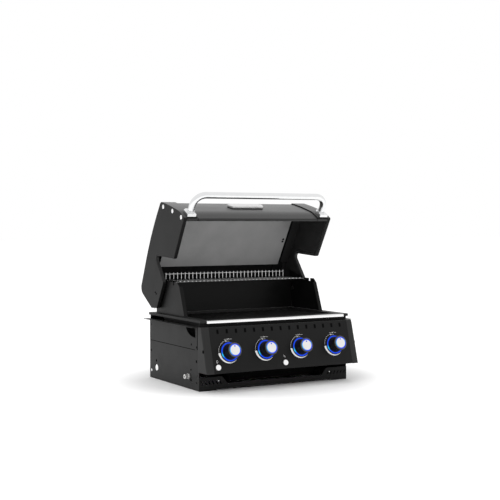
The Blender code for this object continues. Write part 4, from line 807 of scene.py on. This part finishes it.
# Finishes: two tones, the roughness between two values, the fineness of the grain and its relief;
# then a coat's depth of relief and how much it reflects, or how a metal's grain is stretched
SIDE_COAT = coat("side_powder_coat", (0.006, 0.010), (0.50, 0.62), 1400.0, 0.14, reflect=0.28)
PANEL_COAT = coat("panel_satin_coat", (0.004, 0.006), (0.36, 0.44), 1700.0, 0.10, reflect=0.17)
END_PLASTIC = coat("panel_end_plastic", (0.009, 0.013), (0.48, 0.60), 1100.0, 0.16, reflect=0.30)
BLACK_SHEET = coat("black_sheet_coat", (0.003, 0.006), (0.45, 0.58), 1300.0, 0.12, reflect=0.16)
CAP_COAT = coat("cap_satin_coat", (0.006, 0.010), (0.42, 0.52), 900.0, 0.16, 0.0003, 0.13)
LID_LOOK = ((0.012, 0.016), (0.26, 0.33), 420.0, 0.05)
# The lid enamel carries a black band of painted shade where the shell meets the end caps
LID_ENAMEL = coat("lid_gloss_enamel", *LID_LOOK, reflect=0.34, line=LID_SEAM_SHADE)
WRAP_ENAMEL = coat("lid_wrap_enamel", *LID_LOOK, reflect=0.34)
LINING_LOOK = ((0.022, 0.030), (0.50, 0.60), 900.0, 0.16)
# The cap lining carries a black band of painted shade beside the liner's edge
CAP_LINING = coat("cap_inner_coat", *LINING_LOOK, reflect=0.20, line=LINER_EDGE_SHADE)
FIREBOX_CAST = coat("firebox_cast_coat", (0.005, 0.010), (0.50, 0.66), 620.0, 0.30, 0.0004, 0.30)
FIREBOX_ENAMEL = coat("firebox_enamel", (0.003, 0.006), (0.34, 0.46), 520.0, 0.10, reflect=0.12)
CAST_IRON = coat("grate_cast_iron", (0.006, 0.014), (0.42, 0.62), 480.0, 0.45, 0.0005, 0.30)
TRAY_COAT = coat("tray_satin_coat", (0.0015, 0.003), (0.45, 0.58), 900.0, 0.12, reflect=0.04)
BEZEL_GLOSS = coat("knob_black_gloss", (0.007, 0.010), (0.40, 0.50), 900.0, 0.04, reflect=0.22)
SIDE_TONES = ((0.005, 0.004, 0.003), (0.008, 0.007, 0.005))
KNOB_SIDE = coat("knob_side_gloss", SIDE_TONES, (0.46, 0.54), 900.0, 0.04, reflect=0.10)
# The knob rim's lighter tones are a painted highlight
RIM_HIGHLIGHT_TONES = ((0.050, 0.046, 0.042), (0.064, 0.058, 0.052))
KNOB_RIM_HIGHLIGHT = coat("knob_rim_painted_highlight", RIM_HIGHLIGHT_TONES, (0.34, 0.42), 900.0, 0.04, reflect=0.30)
HOUSING = coat("housing_plastic", (0.006, 0.010), (0.50, 0.62), 800.0, 0.20, reflect=0.30)
PRINT = coat("panel_print", (0.92, 0.97), (0.45, 0.55), 1500.0, 0.05)
FAINT_PRINT = coat("faint_print", (0.24, 0.31), (0.45, 0.55), 1500.0, 0.05)
SILVER_TONES = ((0.74, 0.73, 0.73), (0.82, 0.81, 0.81))
FACE_SILVER = coat("knob_face_silver", SILVER_TONES, (0.35, 0.45), 1500.0, 0.05)
LINER_STEEL = coat("liner_satin_steel", (0.34, 0.46), (0.46, 0.62), 1500.0, 0.30, 0.0003, 0.35)
# Near-black and barely reflecting: painted shade, for the seam strips, the vent plates and screws that show only
# as dark spots
RECESS_SHADE = coat("painted_recess_shade", (0.0008, 0.0016), (0.60, 0.75), 700.0, 0.10, reflect=0.03)
CHROME = metal("bright_chrome", ((0.74, 0.75, 0.76), 0.82), (0.04, 0.09), 60.0, 0.02)
TRIM_CHROME = metal("trim_chrome", (0.80, 0.88), (0.10, 0.18), 30.0, 0.03, (1.0, 30.0, 30.0))
RACK_CHROME = metal("rack_plating", (0.72, 0.86), (0.20, 0.32), 500.0, 0.10)
RAIL_CHROME = metal("rack_rail_plating", (0.16, 0.24), (0.25, 0.38), 300.0, 0.10)
BADGE_METAL = metal("badge_brushed", (0.66, 0.76), (0.22, 0.34), 40.0, 0.10, (1.0, 40.0, 40.0))
BUTTON_METAL = metal("button_satin_silver", (0.88, 0.95), (0.22, 0.32), 900.0, 0.05)
BOLT_CHROME = metal("bolt_chrome", (0.82, 0.90), (0.10, 0.20), 700.0, 0.05)
DARK_SCREW = metal("blackened_screw", (0.05, 0.09), (0.35, 0.50), 700.0, 0.10)
STEEL_TONES = ((0.38, 0.37, 0.36), (0.50, 0.49, 0.48))
STAINLESS = metal("burner_stainless", STEEL_TONES, (0.28, 0.42), 30.0, 0.10, (30.0, 1.0, 30.0))
BRASS = metal("valve_brass", ((0.48, 0.35, 0.15), (0.60, 0.46, 0.22)), (0.30, 0.42), 420.0, 0.16)
ZINC = metal("zinc_plated_steel", ((0.42, 0.42, 0.44), (0.56, 0.56, 0.57)), (0.30, 0.46), 160.0, 0.10)
NICKEL = metal("nickel_plate", ((0.80, 0.79, 0.78), (0.90, 0.89, 0.88)), (0.36, 0.48), 400.0, 0.05)
GLOW = lit("lit_ring", 0.45, 0.05)


# Cabinet, control panel and firebox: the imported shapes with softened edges

def rear_window():
    """A round cutter for the rear panel's opening opposite the left gas line hole."""
    low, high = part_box("rear_panel")
    thick = high[1] - low[1]
    shape = bmesh.new()
    spot = Vector((REAR_WINDOW[0], low[1] - thick, REAR_WINDOW[1]))
    outline = [(0.0, 0.0), (REAR_WINDOW_RADIUS, 0.0), (REAR_WINDOW_RADIUS, thick * 3), (0.0, thick * 3)]
    lathe(shape, outline, spot, Vector((0.0, 1.0, 0.0)), FASTENER_FLATS)
    return holder_for(baked(shape, "rear_window"))


def seal_seams():
    """Painted shade: thin near-black strips where the upper side panel stands on the lower one, and at its fold in
    front.
    """
    for side, sign in SIDES.items():
        _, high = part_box(f"{side}_lower_side_panel")
        _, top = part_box(f"{side}_upper_side_panel")
        face = side_face(f"{side}_lower_side_panel", sign)
        level = high[2]
        half = SEAM_SHADE_WIDTH / 2
        shape = bmesh.new()
        for near, far, foot, head in (
            (SEAM_SHADE_FRONT, high[1] - half, level - half, level + half),
            (*FOLD_SHADE, level + half, top[2] - half),
        ):
            outline = [(near, foot), (far, foot), (far, head), (near, head)]
            slab(shape, outline, lambda y, z, out: Vector((face + sign * out, y, z)), 0.0, SEAM_SHADE_LIFT)
        finished(f"{side}_panel_seam", shape, RECESS_SHADE, "cabinet")


def dress_cabinet():
    """The sheet pieces of the cabinet, the control panel and the grease tray."""
    for side in SIDES:
        softened(f"{side}_lower_side_panel", EDGE_SHEET, SIDE_COAT)
        softened(f"{side}_upper_side_panel", EDGE_SHEET, SIDE_COAT)
        softened(f"{side}_tray_runner", EDGE_SHEET, TRAY_COAT)
        softened(f"control_panel_{side}_end", EDGE_PLATE, END_PLASTIC)
    for node in ("base_front_plate", "rear_base_rail", "front_cross_rail"):
        softened(node, EDGE_SHEET, BLACK_SHEET)
    cutter = rear_window()
    softened("rear_panel", EDGE_SHEET, BLACK_SHEET, cutter=cutter)
    drop(cutter)
    softened("control_panel", EDGE_SHEET, PANEL_COAT)
    softened("grease_tray", EDGE_SHEET, TRAY_COAT)


def dress_gas_train():
    """The gas rail, its threaded inlet, the valves with their stems and the electric parts."""
    softened("gas_manifold", EDGE_SHEET, ZINC)
    softened("igniter_module", EDGE_PLATE, HOUSING)
    softened("light_switch", EDGE_PLATE, HOUSING)
    for number in range(1, 5):
        softened(f"valve_{number}", EDGE_PLATE, BRASS, joined=False)
        softened(f"valve_stem_{number}", EDGE_SHEET, ZINC)
    softened("gas_inlet_fitting", EDGE_SHEET, NICKEL)


def dress_firebox():
    """The firebox, its bright front bar, the flame tamers and the hinge pins."""
    softened("firebox_tub", EDGE_CAST, FIREBOX_CAST)
    softened("front_trim_bar", EDGE_PLATE, TRIM_CHROME)
    for side in SIDES:
        softened(f"firebox_{side}_side", EDGE_PLATE, FIREBOX_ENAMEL)
        softened(f"{side}_flame_tamer", EDGE_SHEET, STAINLESS)
        softened(f"{side}_hinge_pin", EDGE_PLATE, DARK_SCREW)
    softened("firebox_rear_wall", EDGE_PLATE, FIREBOX_ENAMEL)


def line_cap(piece, side):
    """Give an end cap's wrap the lid's enamel and its inside a paler lining."""
    mesh = piece.data
    mesh.materials.append(WRAP_ENAMEL)
    mesh.materials.append(CAP_LINING)
    back = OPEN_TURN.inverted()
    low, high = closed_box(f"lid_{side}_end_cap")
    middle = (low + high) / 2
    for face in mesh.polygons:
        way = back @ face.normal
        place = back @ (face.center - PIVOT) - middle
        if way.x * SIDES[side] > FACING:
            continue
        outward = place.y * way.y + place.z * way.z > 0 and abs(way.x) < FACING
        if outward and way.z < -FACING:
            continue
        face.material_index = 1 if outward else 2


def dress_lid():
    """The lid's sheet and cast pieces."""
    softened("lid_outer_shell", EDGE_SHEET, LID_ENAMEL)
    softened("lid_inner_liner", EDGE_SHEET, LINER_STEEL)
    softened("lid_badge_plate", BADGE_ROUND, BADGE_METAL, 4)
    for side in SIDES:
        line_cap(softened(f"lid_{side}_end_cap", EDGE_CAP, CAP_COAT, joined=False), side)
        softened(f"lid_handle_{side}_base", EDGE_PLATE, CHROME, 3)


# Knobs, lit rings and buttons

def glowing(mesh, spot, colour_at):
    """Give a mesh its glow attribute: the colour at each point's direction from a spot."""
    glow = mesh.attributes.new("glow", "FLOAT_COLOR", "POINT")
    for vertex, datum in zip(mesh.vertices, glow.data):
        away = vertex.co - spot
        angle = math.atan2(away.dot(PANEL_UP), away.x) % (2 * math.pi)
        datum.color = (*colour_at(angle), 1.0)


def nearness(angle, centre, width):
    """One at a direction, falling off to nothing over a width."""
    apart = abs((angle - centre + math.pi) % (2 * math.pi) - math.pi)
    return math.exp(-((apart / width) ** 2))


def ring_glow(angle):
    """Blue, with a cyan spot where the lamp sits at the lower left."""
    hot = nearness(angle, LAMP_TURN, LAMP_WIDTH)
    level = RING_FAR + (1 - RING_FAR) * nearness(angle, LAMP_TURN, RING_FADE)
    red, green, blue = RING_BLUE
    return (red + RING_SPOT[0] * hot, green * level + RING_SPOT[1] * hot, blue * level)


def face_glow(angle):
    """The narrow ring round a knob's face: blue, whiter on its left and a little on its right."""
    hot = max(size * nearness(angle, turn, width) for turn, width, size in FACE_SPOTS)
    red, green, blue = FACE_BLUE
    return (red + FACE_SPOT[0] * hot, green + FACE_SPOT[1] * hot, blue)


def dot_glow(angle):
    """The pointer dot's blue, the same in every direction."""
    return DOT_BLUE


def turned(name, corners, spot, material, body, stands_for=(), slot=None, crease=CREASE):
    """A turned piece on the panel; its outline's corners are (radius, height, rounding)."""
    shape = lathe(bmesh.new(), filleted(corners), spot, PANEL_OUT)
    return finished(name, shape, material, body, stands_for, crease)


def lit_band(name, spot, radii, height, colour_at, body):
    """A shallow lit band between two radii, set down on the piece that carries it."""
    inner, outer = radii
    middle = (inner + outer) / 2
    profile = [
        (inner, height - PRINT_THICKNESS),
        (outer, height - PRINT_THICKNESS),
        (outer, height),
        (middle, height + PRINT_THICKNESS),
        (inner, height),
    ]
    piece = finished(name, lathe(bmesh.new(), profile, spot, PANEL_OUT), GLOW, body)
    glowing(piece.data, spot, colour_at)


def dress_knob(number):
    """A knob: dark body whose rounded rim carries a painted highlight, lit ring, satin face and its pointer dot.
    """
    spot = on_panel(KNOB_XS[number - 1], 0.0, 0.0)
    body = f"knob_{number}"
    low, tip = levels(body)
    seat = tip - FACE_SINK
    skirt = low + KNOB_HUB_DROP
    _, radius = turned_radii(body, spot)
    corners = [
        (0.0, low + KNOB_BORE_DEPTH, 0.0),
        (KNOB_BORE, low + KNOB_BORE_DEPTH, 0.0),
        (KNOB_BORE, low, 0.0),
        (KNOB_HUB, low, KNOB_RIM_ROUND),
        (KNOB_HUB, skirt, KNOB_RIM_ROUND),
        (radius, skirt, KNOB_RIM_ROUND),
        (radius, tip, KNOB_ROUND),
        (FACE_RING, tip, KNOB_RIM_ROUND / 2),
        (FACE_RING, seat, 0.0),
        (0.0, seat, 0.0),
    ]
    piece = turned(f"knob_{number}_body", corners, spot, KNOB_SIDE, body, [body], "knob_plastic")
    # The rim faces nearest the face get a lighter copy of the knob's black: a painted highlight
    piece.data.materials.append(KNOB_RIM_HIGHLIGHT)
    for flat in piece.data.polygons:
        height = (flat.center - spot).dot(PANEL_OUT)
        if height > tip - KNOB_HIGHLIGHT_DEPTH and flat.normal.dot(PANEL_OUT) > WELD:
            flat.material_index = 1
    edge = KNOB_RIM_ROUND / 2
    corners = [(0.0, seat, 0.0), (FACE_DISC, seat, 0.0), (FACE_DISC, tip, edge), (0.0, tip, 0.0)]
    turned(f"knob_{number}_face", corners, spot, FACE_SILVER, body, slot="knob_plastic")
    radii = (FACE_DISC + PRINT_LIFT, FACE_RING - PRINT_LIFT)
    lit_band(f"knob_{number}_lit_ring", spot, radii, seat + FACE_SINK / 2, face_glow, body)
    dot = on_panel(KNOB_XS[number - 1], FACE_DOT_PLACE, 0.0)
    radii = (0.0, FACE_DOT)
    lit_band(f"knob_{number}_dot", dot, radii, tip + PRINT_THICKNESS, dot_glow, body)


def dress_bezel(number):
    """The ring behind a knob: gloss black with its lit channel."""
    spot = on_panel(KNOB_XS[number - 1], 0.0, 0.0)
    node = f"knob_bezel_{number}"
    low, high = levels(node)
    seat = high - RING_SINK
    hole, radius = turned_radii(node, spot)
    corners = [
        (hole, low, 0.0),
        (radius, low, 0.0),
        (radius, high, BEZEL_EDGE),
        (RING_OUTER, high, BEZEL_EDGE / 3),
        (RING_OUTER, seat, 0.0),
        (RING_INNER, seat, 0.0),
        (RING_INNER, high, BEZEL_EDGE / 2),
        (hole, high, 0.0),
    ]
    turned(f"bezel_{number}_body", corners, spot, BEZEL_GLOSS, "cabinet", [node], "bezel_plastic")
    radii = (RING_INNER + PRINT_LIFT, RING_OUTER - PRINT_LIFT)
    name = f"bezel_{number}_lit_ring"
    lit_band(name, spot, radii, high - RING_SINK / 2, ring_glow, "cabinet")


def dress_button(node):
    """A push button with a rounded edge and a slightly dished face."""
    low, high = levels(node)
    box_low, box_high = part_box(node)
    radius = (box_high[0] - box_low[0]) / 2
    middle = (Vector(box_low) + Vector(box_high)) / 2
    slope = (middle - PANEL_SPOT).dot(PANEL_UP)
    spot = on_panel(middle.x, slope, 0.0)
    corners = [
        (0.0, low, 0.0),
        (radius, low, BUTTON_ROUND / 2),
        (radius, high, BUTTON_ROUND),
        (radius * BUTTON_DISH_REACH, high - BUTTON_DISH / 2, radius * BUTTON_DISH_ROUND),
        (0.0, high - BUTTON_DISH, 0.0),
    ]
    finish = ([node], "button_chrome", BUTTON_CREASE)
    turned(f"{node}_finish", corners, spot, BUTTON_METAL, node, *finish)
    return middle.x, slope


# Painted vent shade and print on the control panel

def printed(shape, outline, centre):
    """Add a thin plate on the panel's face, its outline counted from a centre."""
    points = [Vector(point) + Vector(centre) for point in outline]
    slab(shape, points, on_panel, PRINT_LIFT, PRINT_LIFT + PRINT_THICKNESS)


def screen_vents():
    """A thin near-black plate over each vent of the control panel: painted shade for the dark openings."""
    half = VENT_SHADE_WIDTH / 2
    low, high = VENT_SLOPE - VENT_SHADE_HEIGHT / 2, VENT_SLOPE + VENT_SHADE_HEIGHT / 2
    step = (KNOB_XS[1] - KNOB_XS[0]) / len(KNOB_XS)
    shape = bmesh.new()
    outline = [(-half, low), (half, low), (half, high), (-half, high)]
    printed(shape, outline, (-step * (VENT_COUNT - 1) / 2, 0.0))
    values = {"Count": VENT_COUNT, "Step": (step, 0.0, 0.0), "Material": RECESS_SHADE}
    mesh = grown(baked(shape, "vent_shade"), ROW, values)
    show("vent_screens", mesh, "cabinet")


def strokes(shape, runs, centre, width=LINE_WIDTH):
    """Add straight printed strokes, each from one two-part point to another."""
    for first, last in runs:
        start = Vector(first)
        run = (Vector(last) - start).normalized() * (width / 2)
        side = Vector((-run.y, run.x))
        stop = Vector(last)
        outline = [start - run - side, stop + run - side, stop + run + side, start - run + side]
        printed(shape, outline, centre)


def printed_word(shape, word, centre, size):
    """Add a printed word, centred over a point of the panel."""
    curve = bpy.data.curves.new("word", "FONT")
    curve.body = word
    curve.size = size
    curve.align_x = "CENTER"
    curve.align_y = "CENTER"
    curve.extrude = PRINT_THICKNESS / 2
    holder = holder_for(curve)
    depsgraph = bpy.context.evaluated_depsgraph_get()
    mesh = bpy.data.meshes.new_from_object(holder.evaluated_get(depsgraph))
    bpy.data.objects.remove(holder)
    bpy.data.curves.remove(curve)
    for vertex in mesh.vertices:
        x, rise, height = vertex.co
        vertex.co = on_panel(centre[0] + x, centre[1] + rise, height + PRINT_LIFT + PRINT_THICKNESS / 2)
    shape.from_mesh(mesh)
    bpy.data.meshes.remove(mesh)


def print_panel(light_button, igniter):
    """The heat scales, the OFF marks and the pictograms over the buttons."""
    white = bmesh.new()
    faint = bmesh.new()
    half = SCALE_WIDTH / 2
    wedge = arc_band(WEDGE_INNER, WEDGE_OUTER, WEDGE_START, WEDGE_STOP, WEDGE_TAPER)
    scale = arc_band(SCALE_RADIUS - half, SCALE_RADIUS + half, SCALE_START, SCALE_STOP)
    runs = [(OFF_RISE, run) for run in OFF_LINES] + [(MARK_RISE, MARK_LINE)]
    lines = [((first, rise), (last, rise)) for rise, (first, last) in runs]
    for x in KNOB_XS:
        centre = (x, 0.0)
        printed(white, wedge, centre)
        printed(white, scale, centre)
        printed_word(white, OFF_WORD, (x, OFF_RISE), OFF_SIZE)
        printed(white, disc(MARK_SIZE), (x + MARK_PLACE, MARK_RISE))
        strokes(faint, lines, centre, OFF_LINE_WIDTH)
    bulb = (light_button[0], light_button[1] + BULB_RISE)
    printed(white, arc_band(PICTOGRAM - LINE_WIDTH, PICTOGRAM, BULB_START, BULB_STOP), bulb)
    foot = PICTOGRAM * BULB_FOOT
    rows = [((-foot, -PICTOGRAM * rise), (foot, -PICTOGRAM * rise)) for rise in BULB_FOOT_RISES]
    strokes(white, rows, bulb)
    spark = (igniter[0], igniter[1] + SPARK_RISE)
    points = [(x * PICTOGRAM, rise * PICTOGRAM) for x, rise in SPARK_POINTS]
    strokes(white, list(zip(points, points[1:])), spark)
    finished("panel_print_white", white, PRINT, "cabinet")
    finished("panel_print_faint", faint, FAINT_PRINT, "cabinet")


# Lid handle, bolts and screws

def dress_handle():
    """The bent bright tube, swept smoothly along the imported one's path."""
    low, high = closed_box("lid_handle_tube")
    radius = (high.z - low.z) / 2
    level = (high.z + low.z) / 2
    reach = high.x - radius
    front = low.y + radius
    bends = [(-reach, front, HANDLE_BEND), (reach, front, HANDLE_BEND)]
    corners = [(-reach, high.y, 0.0), *bends, (reach, high.y, 0.0)]
    path = [opened(point.x, point.y, level) for point in filleted(corners)]
    shape = bmesh.new()
    pipe(shape, path, radius, HANDLE_FLATS)
    finished("lid_handle_bar", shape, CHROME, "lid", ["lid_handle_tube"])


def upright(x, y, z):
    """A point of a piece that stands as it is."""
    return Vector((x, y, z))


def both_sides(node, spots, place=upright):
    """Points on the outer faces of a left and a right node, each with its outward direction."""
    points = []
    for side, sign in SIDES.items():
        face = side_face(node.format(side), sign)
        points += [(place(face, *spot), Vector((sign, 0.0, 0.0))) for spot in spots]
    return points


def fasten_lid():
    """Three bright bolts and two small screws in each lid end, two screws by each end of the liner; the small
    screws are near-black, in painted recess shade.
    """
    ends = "lid_{}_end_cap"
    points = both_sides(ends, BOLT_SPOTS, opened)
    fasten("lid_bolts", points, BOLT, BOLT_CHROME, "lid")
    points = both_sides(ends, CAP_SCREW_SPOTS, opened)
    fasten("lid_screws", points, CAP_SCREW, RECESS_SHADE, "lid")
    _, liner = closed_box("lid_inner_liner")
    xs = [sign * (liner.x - LINER_SCREW_INSET) for sign in SIDES.values()]
    level = liner.z - LINER_GAUGE
    down = OPEN_TURN @ Vector((0.0, 0.0, -1.0))
    points = [(opened(x, y, level), down) for x in xs for y in LINER_SCREW_YS]
    fasten("liner_screws", points, LINER_SCREW, RECESS_SHADE, "lid")


def fasten_cabinet():
    """Screws: a bright one in each base corner, and near-black ones in painted recess shade in each panel end and
    side panel.
    """
    low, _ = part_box("base_front_plate")
    way = Vector((0.0, -1.0, 0.0))
    points = [(Vector((sign * BASE_SCREW_X, low[1], BASE_SCREW_RISE)), way) for sign in SIDES.values()]
    fasten("base_screws", points, BASE_SCREW, BOLT_CHROME, "cabinet")
    points = both_sides("control_panel_{}_end", [END_SCREW_SPOT])
    fasten("panel_end_screws", points, END_SCREW, RECESS_SHADE, "cabinet")
    for name, spots, size, material in (
        ("large", SIDE_SCREWS_LARGE, SIDE_SCREW_LARGE, RECESS_SHADE),
        ("small", SIDE_SCREWS_SMALL, SIDE_SCREW_SMALL, RECESS_SHADE),
        ("bright", [SIDE_SCREW_BRIGHT], SIDE_SCREW_LARGE, BOLT_CHROME),
    ):
        points = both_sides("{}_lower_side_panel", spots)
        fasten(f"side_screws_{name}", points, size, material, "cabinet")


# Warming rack, cooking grates and burners

def dress_rack():
    """Bent wires with beaded front ends on two rails, and a thin rod behind their upright ends."""
    low, high = (Vector(corner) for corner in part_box("warming_rack"))
    level = low.z + RACK_RAIL
    front = low.y + RACK_RAIL
    rear = high.y - RACK_RAIL
    first = low.x + RACK_SIDE
    step = (high.x - low.x - 2 * RACK_SIDE) / (RACK_COUNT - 1)
    over = level + RACK_RAIL / 2
    run = filleted([(front, over, 0.0), (rear, over, RACK_BEND), (rear, high.z - RACK_WIRE, 0.0)])
    path = bpy.data.meshes.new("wire_path")
    path.from_pydata([(first, *point) for point in run], [(k, k + 1) for k in range(len(run) - 1)], [])
    values = {"Count": RACK_COUNT, "Step": (step, 0.0, 0.0), "Material": RACK_CHROME}
    values.update({"Wire Radius": RACK_WIRE, "Bead Radius": RACK_BEAD})
    shape = bmesh.new()
    shape.from_mesh(grown(path, WIRES, values))
    rod_z = high.z - RACK_ROD_DROP
    ends = [Vector((first, rear + RACK_WIRE, rod_z)), Vector((-first, rear + RACK_WIRE, rod_z))]
    pipe(shape, ends, RACK_ROD)
    finished("warming_rack_wires", shape, RACK_CHROME, "cabinet", ["warming_rack"])
    rails = bmesh.new()
    for y in (front, rear):
        ends = [Vector((low.x, y, level)), Vector((high.x, y, level))]
        pipe(rails, ends, RACK_BAR, rounding=RACK_WIRE / 2)
    finished("warming_rack_rails", rails, RAIL_CHROME, "cabinet")


def dress_grate(side):
    """A cast grate: bars with rounded ridges in a row on three cross members."""
    node = f"{side}_cooking_grate"
    low, high = (Vector(corner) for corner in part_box(node))
    half = GRATE_BAR / 2
    tall = high.z - low.z
    section = filleted(
        [
            (-half, 0.0, GRATE_FOOT_ROUND),
            (half, 0.0, GRATE_FOOT_ROUND),
            (half, GRATE_SHOULDER, GRATE_SHOULDER_ROUND),
            (GRATE_TOP, tall, GRATE_TOP * GRATE_TOP_ROUND),
            (-GRATE_TOP, tall, GRATE_TOP * GRATE_TOP_ROUND),
            (-half, GRATE_SHOULDER, GRATE_SHOULDER_ROUND),
        ],
        closed=True,
    )
    shape = bmesh.new()
    first = low.x + half
    tip, neck = GRATE_TIP_SIZES
    stations = (
        (low.y, tip),
        (low.y + GRATE_TIP / 4, neck),
        (low.y + GRATE_TIP, 1.0),
        (high.y - GRATE_TIP, 1.0),
        (high.y - GRATE_TIP / 4, neck),
        (high.y, tip),
    )
    rows = []
    for y, size in stations:
        rows.append([shape.verts.new((first + x * size, y, low.z + rise * size)) for x, rise in section])
    loft(shape, rows)
    step = (high.x - low.x - GRATE_BAR) / (GRATE_BARS - 1)
    values = {"Count": GRATE_BARS, "Step": (step, 0.0, 0.0), "Material": CAST_IRON}
    whole = bmesh.new()
    whole.from_mesh(grown(baked(shape, "grate_bar"), ROW, values))
    level = low.z + GRATE_SHOULDER / 2
    for y in (low.y + GRATE_INSET, (low.y + high.y) / 2, high.y - GRATE_INSET):
        ends = [Vector((first, y, level)), Vector((high.x - half, y, level))]
        pipe(whole, ends, GRATE_SHOULDER * GRATE_MEMBER, rounding=GRATE_MEMBER_ROUND)
    finished(f"{node}_bars", whole, CAST_IRON, "cabinet", [node])


def port_marks(node):
    """Places and directions of the flame ports along both sides of a burner tube."""
    low, high = (Vector(corner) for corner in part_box(node))
    radius = (high.x - low.x) / 2
    middle = (low + high) / 2
    count = int((high.y - low.y - PORT_MARGIN) / PORT_PITCH)
    points = []
    for number in range(count):
        y = low.y + PORT_START + number * PORT_PITCH
        for sign in (-1, 1):
            way = Vector((sign * math.cos(PORT_RISE), 0.0, math.sin(PORT_RISE)))
            points.append((Vector((middle.x, y, middle.z)) + way * radius, way))
    return points


def dress_burners():
    """The burner tubes, each with a row of raised ports along both sides."""
    size = [PORT_RADIUS * share for share in PORT_SHARES]
    for number in range(1, 5):
        node = f"burner_{number}"
        softened(node, EDGE_PLATE, STAINLESS)
        fasten(f"{node}_ports", port_marks(node), size, DARK_SCREW, "cabinet")


# Floor, light and camera

def seen_directly(tree):
    """One for rays from the camera and for rays that metal or glass sends on, nothing for matt light."""
    rays = tree.nodes.new("ShaderNodeLightPath").outputs
    direct = worked(tree, "MAXIMUM", rays["Is Camera Ray"], rays["Is Glossy Ray"])
    return worked(tree, "MAXIMUM", direct, rays["Is Transmission Ray"])


def set_floor():
    """A pale matt floor that keeps the grill's shadow and is white where it is seen away from it."""
    material, tree, shader, place = new_material("pale_floor")
    output = tree.nodes["Material Output"]
    tree.nodes.remove(shader)
    cloud = tinted(tree, noise(tree, place, FLOOR_CLOUD), FLOOR_TONES)
    paint = node_in(tree, "ShaderNodeBsdfDiffuse", {"Color": cloud})
    away = node_in(tree, "ShaderNodeVectorMath", {0: place}, operation="LENGTH")
    reach = {"From Min": FLOOR_LIFT_FROM, "From Max": FLOOR_LIFT_TO, "To Min": 0.0, "To Max": FLOOR_LIFT}
    reach["Value"] = away.outputs["Value"]
    rise = node_in(tree, "ShaderNodeMapRange", reach, interpolation_type="SMOOTHSTEP")
    lift = worked(tree, "MULTIPLY", seen_directly(tree), rise.outputs["Result"])
    glow = node_in(tree, "ShaderNodeEmission", {"Strength": lift})
    both = node_in(tree, "ShaderNodeAddShader", {0: paint.outputs["BSDF"], 1: glow.outputs["Emission"]})
    tree.links.new(both.outputs["Shader"], output.inputs["Surface"])
    shape = bmesh.new()
    bmesh.ops.create_grid(shape, x_segments=FLOOR_CELLS, y_segments=FLOOR_CELLS, size=FLOOR_SIZE)
    mesh = bpy.data.meshes.new("floor")
    shape.to_mesh(mesh)
    shape.free()
    mesh.materials.append(material)
    floor = placed("floor", mesh)
    floor.location.z = CAD_BOX[0][2] - FLOOR_GAP


def set_world():
    """White where the camera or a mirror looks at it, a plain grey level for the rest."""
    world = bpy.data.worlds.new("studio")
    bpy.context.scene.world = world
    world.use_nodes = True
    tree = world.node_tree
    tree.nodes.clear()
    white = (1.0, 1.0, 1.0, 1.0)
    soft = node_in(tree, "ShaderNodeBackground", {"Color": white, "Strength": WORLD_SOFT})
    seen = node_in(tree, "ShaderNodeBackground", {"Color": white, "Strength": WORLD_SEEN})
    mix = {0: seen_directly(tree), 1: soft.outputs["Background"], 2: seen.outputs["Background"]}
    mixed = node_in(tree, "ShaderNodeMixShader", mix)
    node_in(tree, "ShaderNodeOutputWorld", {"Surface": mixed.outputs["Shader"]})


def set_lights():
    """Round soft lamps that light the grill but don't mirror in it."""
    for name, (spot, size, power) in LAMPS.items():
        lamp = bpy.data.lights.new(name, "AREA")
        lamp.shape = "DISK"
        lamp.size = size
        lamp.energy = power
        holder = placed(name, lamp)
        holder.location = spot
        holder.rotation_euler = (Vector(LAMP_AIM) - Vector(spot)).to_track_quat("-Z", "Y").to_euler()
        holder.visible_glossy = False


def set_camera():
    """The camera at the photograph's place, and plain colours."""
    camera = bpy.data.cameras.new("photo_camera")
    camera.lens = CAMERA_LENS
    camera.clip_end = CAMERA_REACH
    holder = placed("photo_camera", camera)
    holder.location = CAMERA_SPOT
    holder.rotation_euler = CAMERA_FORWARD.to_track_quat("-Z", "Y").to_euler()
    scene = bpy.context.scene
    scene.camera = holder
    scene.view_settings.view_transform = "Standard"


dress_cabinet()
seal_seams()
dress_gas_train()
dress_firebox()
dress_burners()
dress_rack()
for grate_side in SIDES:
    dress_grate(grate_side)
for knob_number in range(1, 5):
    dress_bezel(knob_number)
    dress_knob(knob_number)
print_panel(dress_button("light_button"), dress_button("igniter_button"))
screen_vents()
dress_lid()
dress_handle()
fasten_lid()
fasten_cabinet()
set_floor()
set_world()
set_lights()
set_camera()
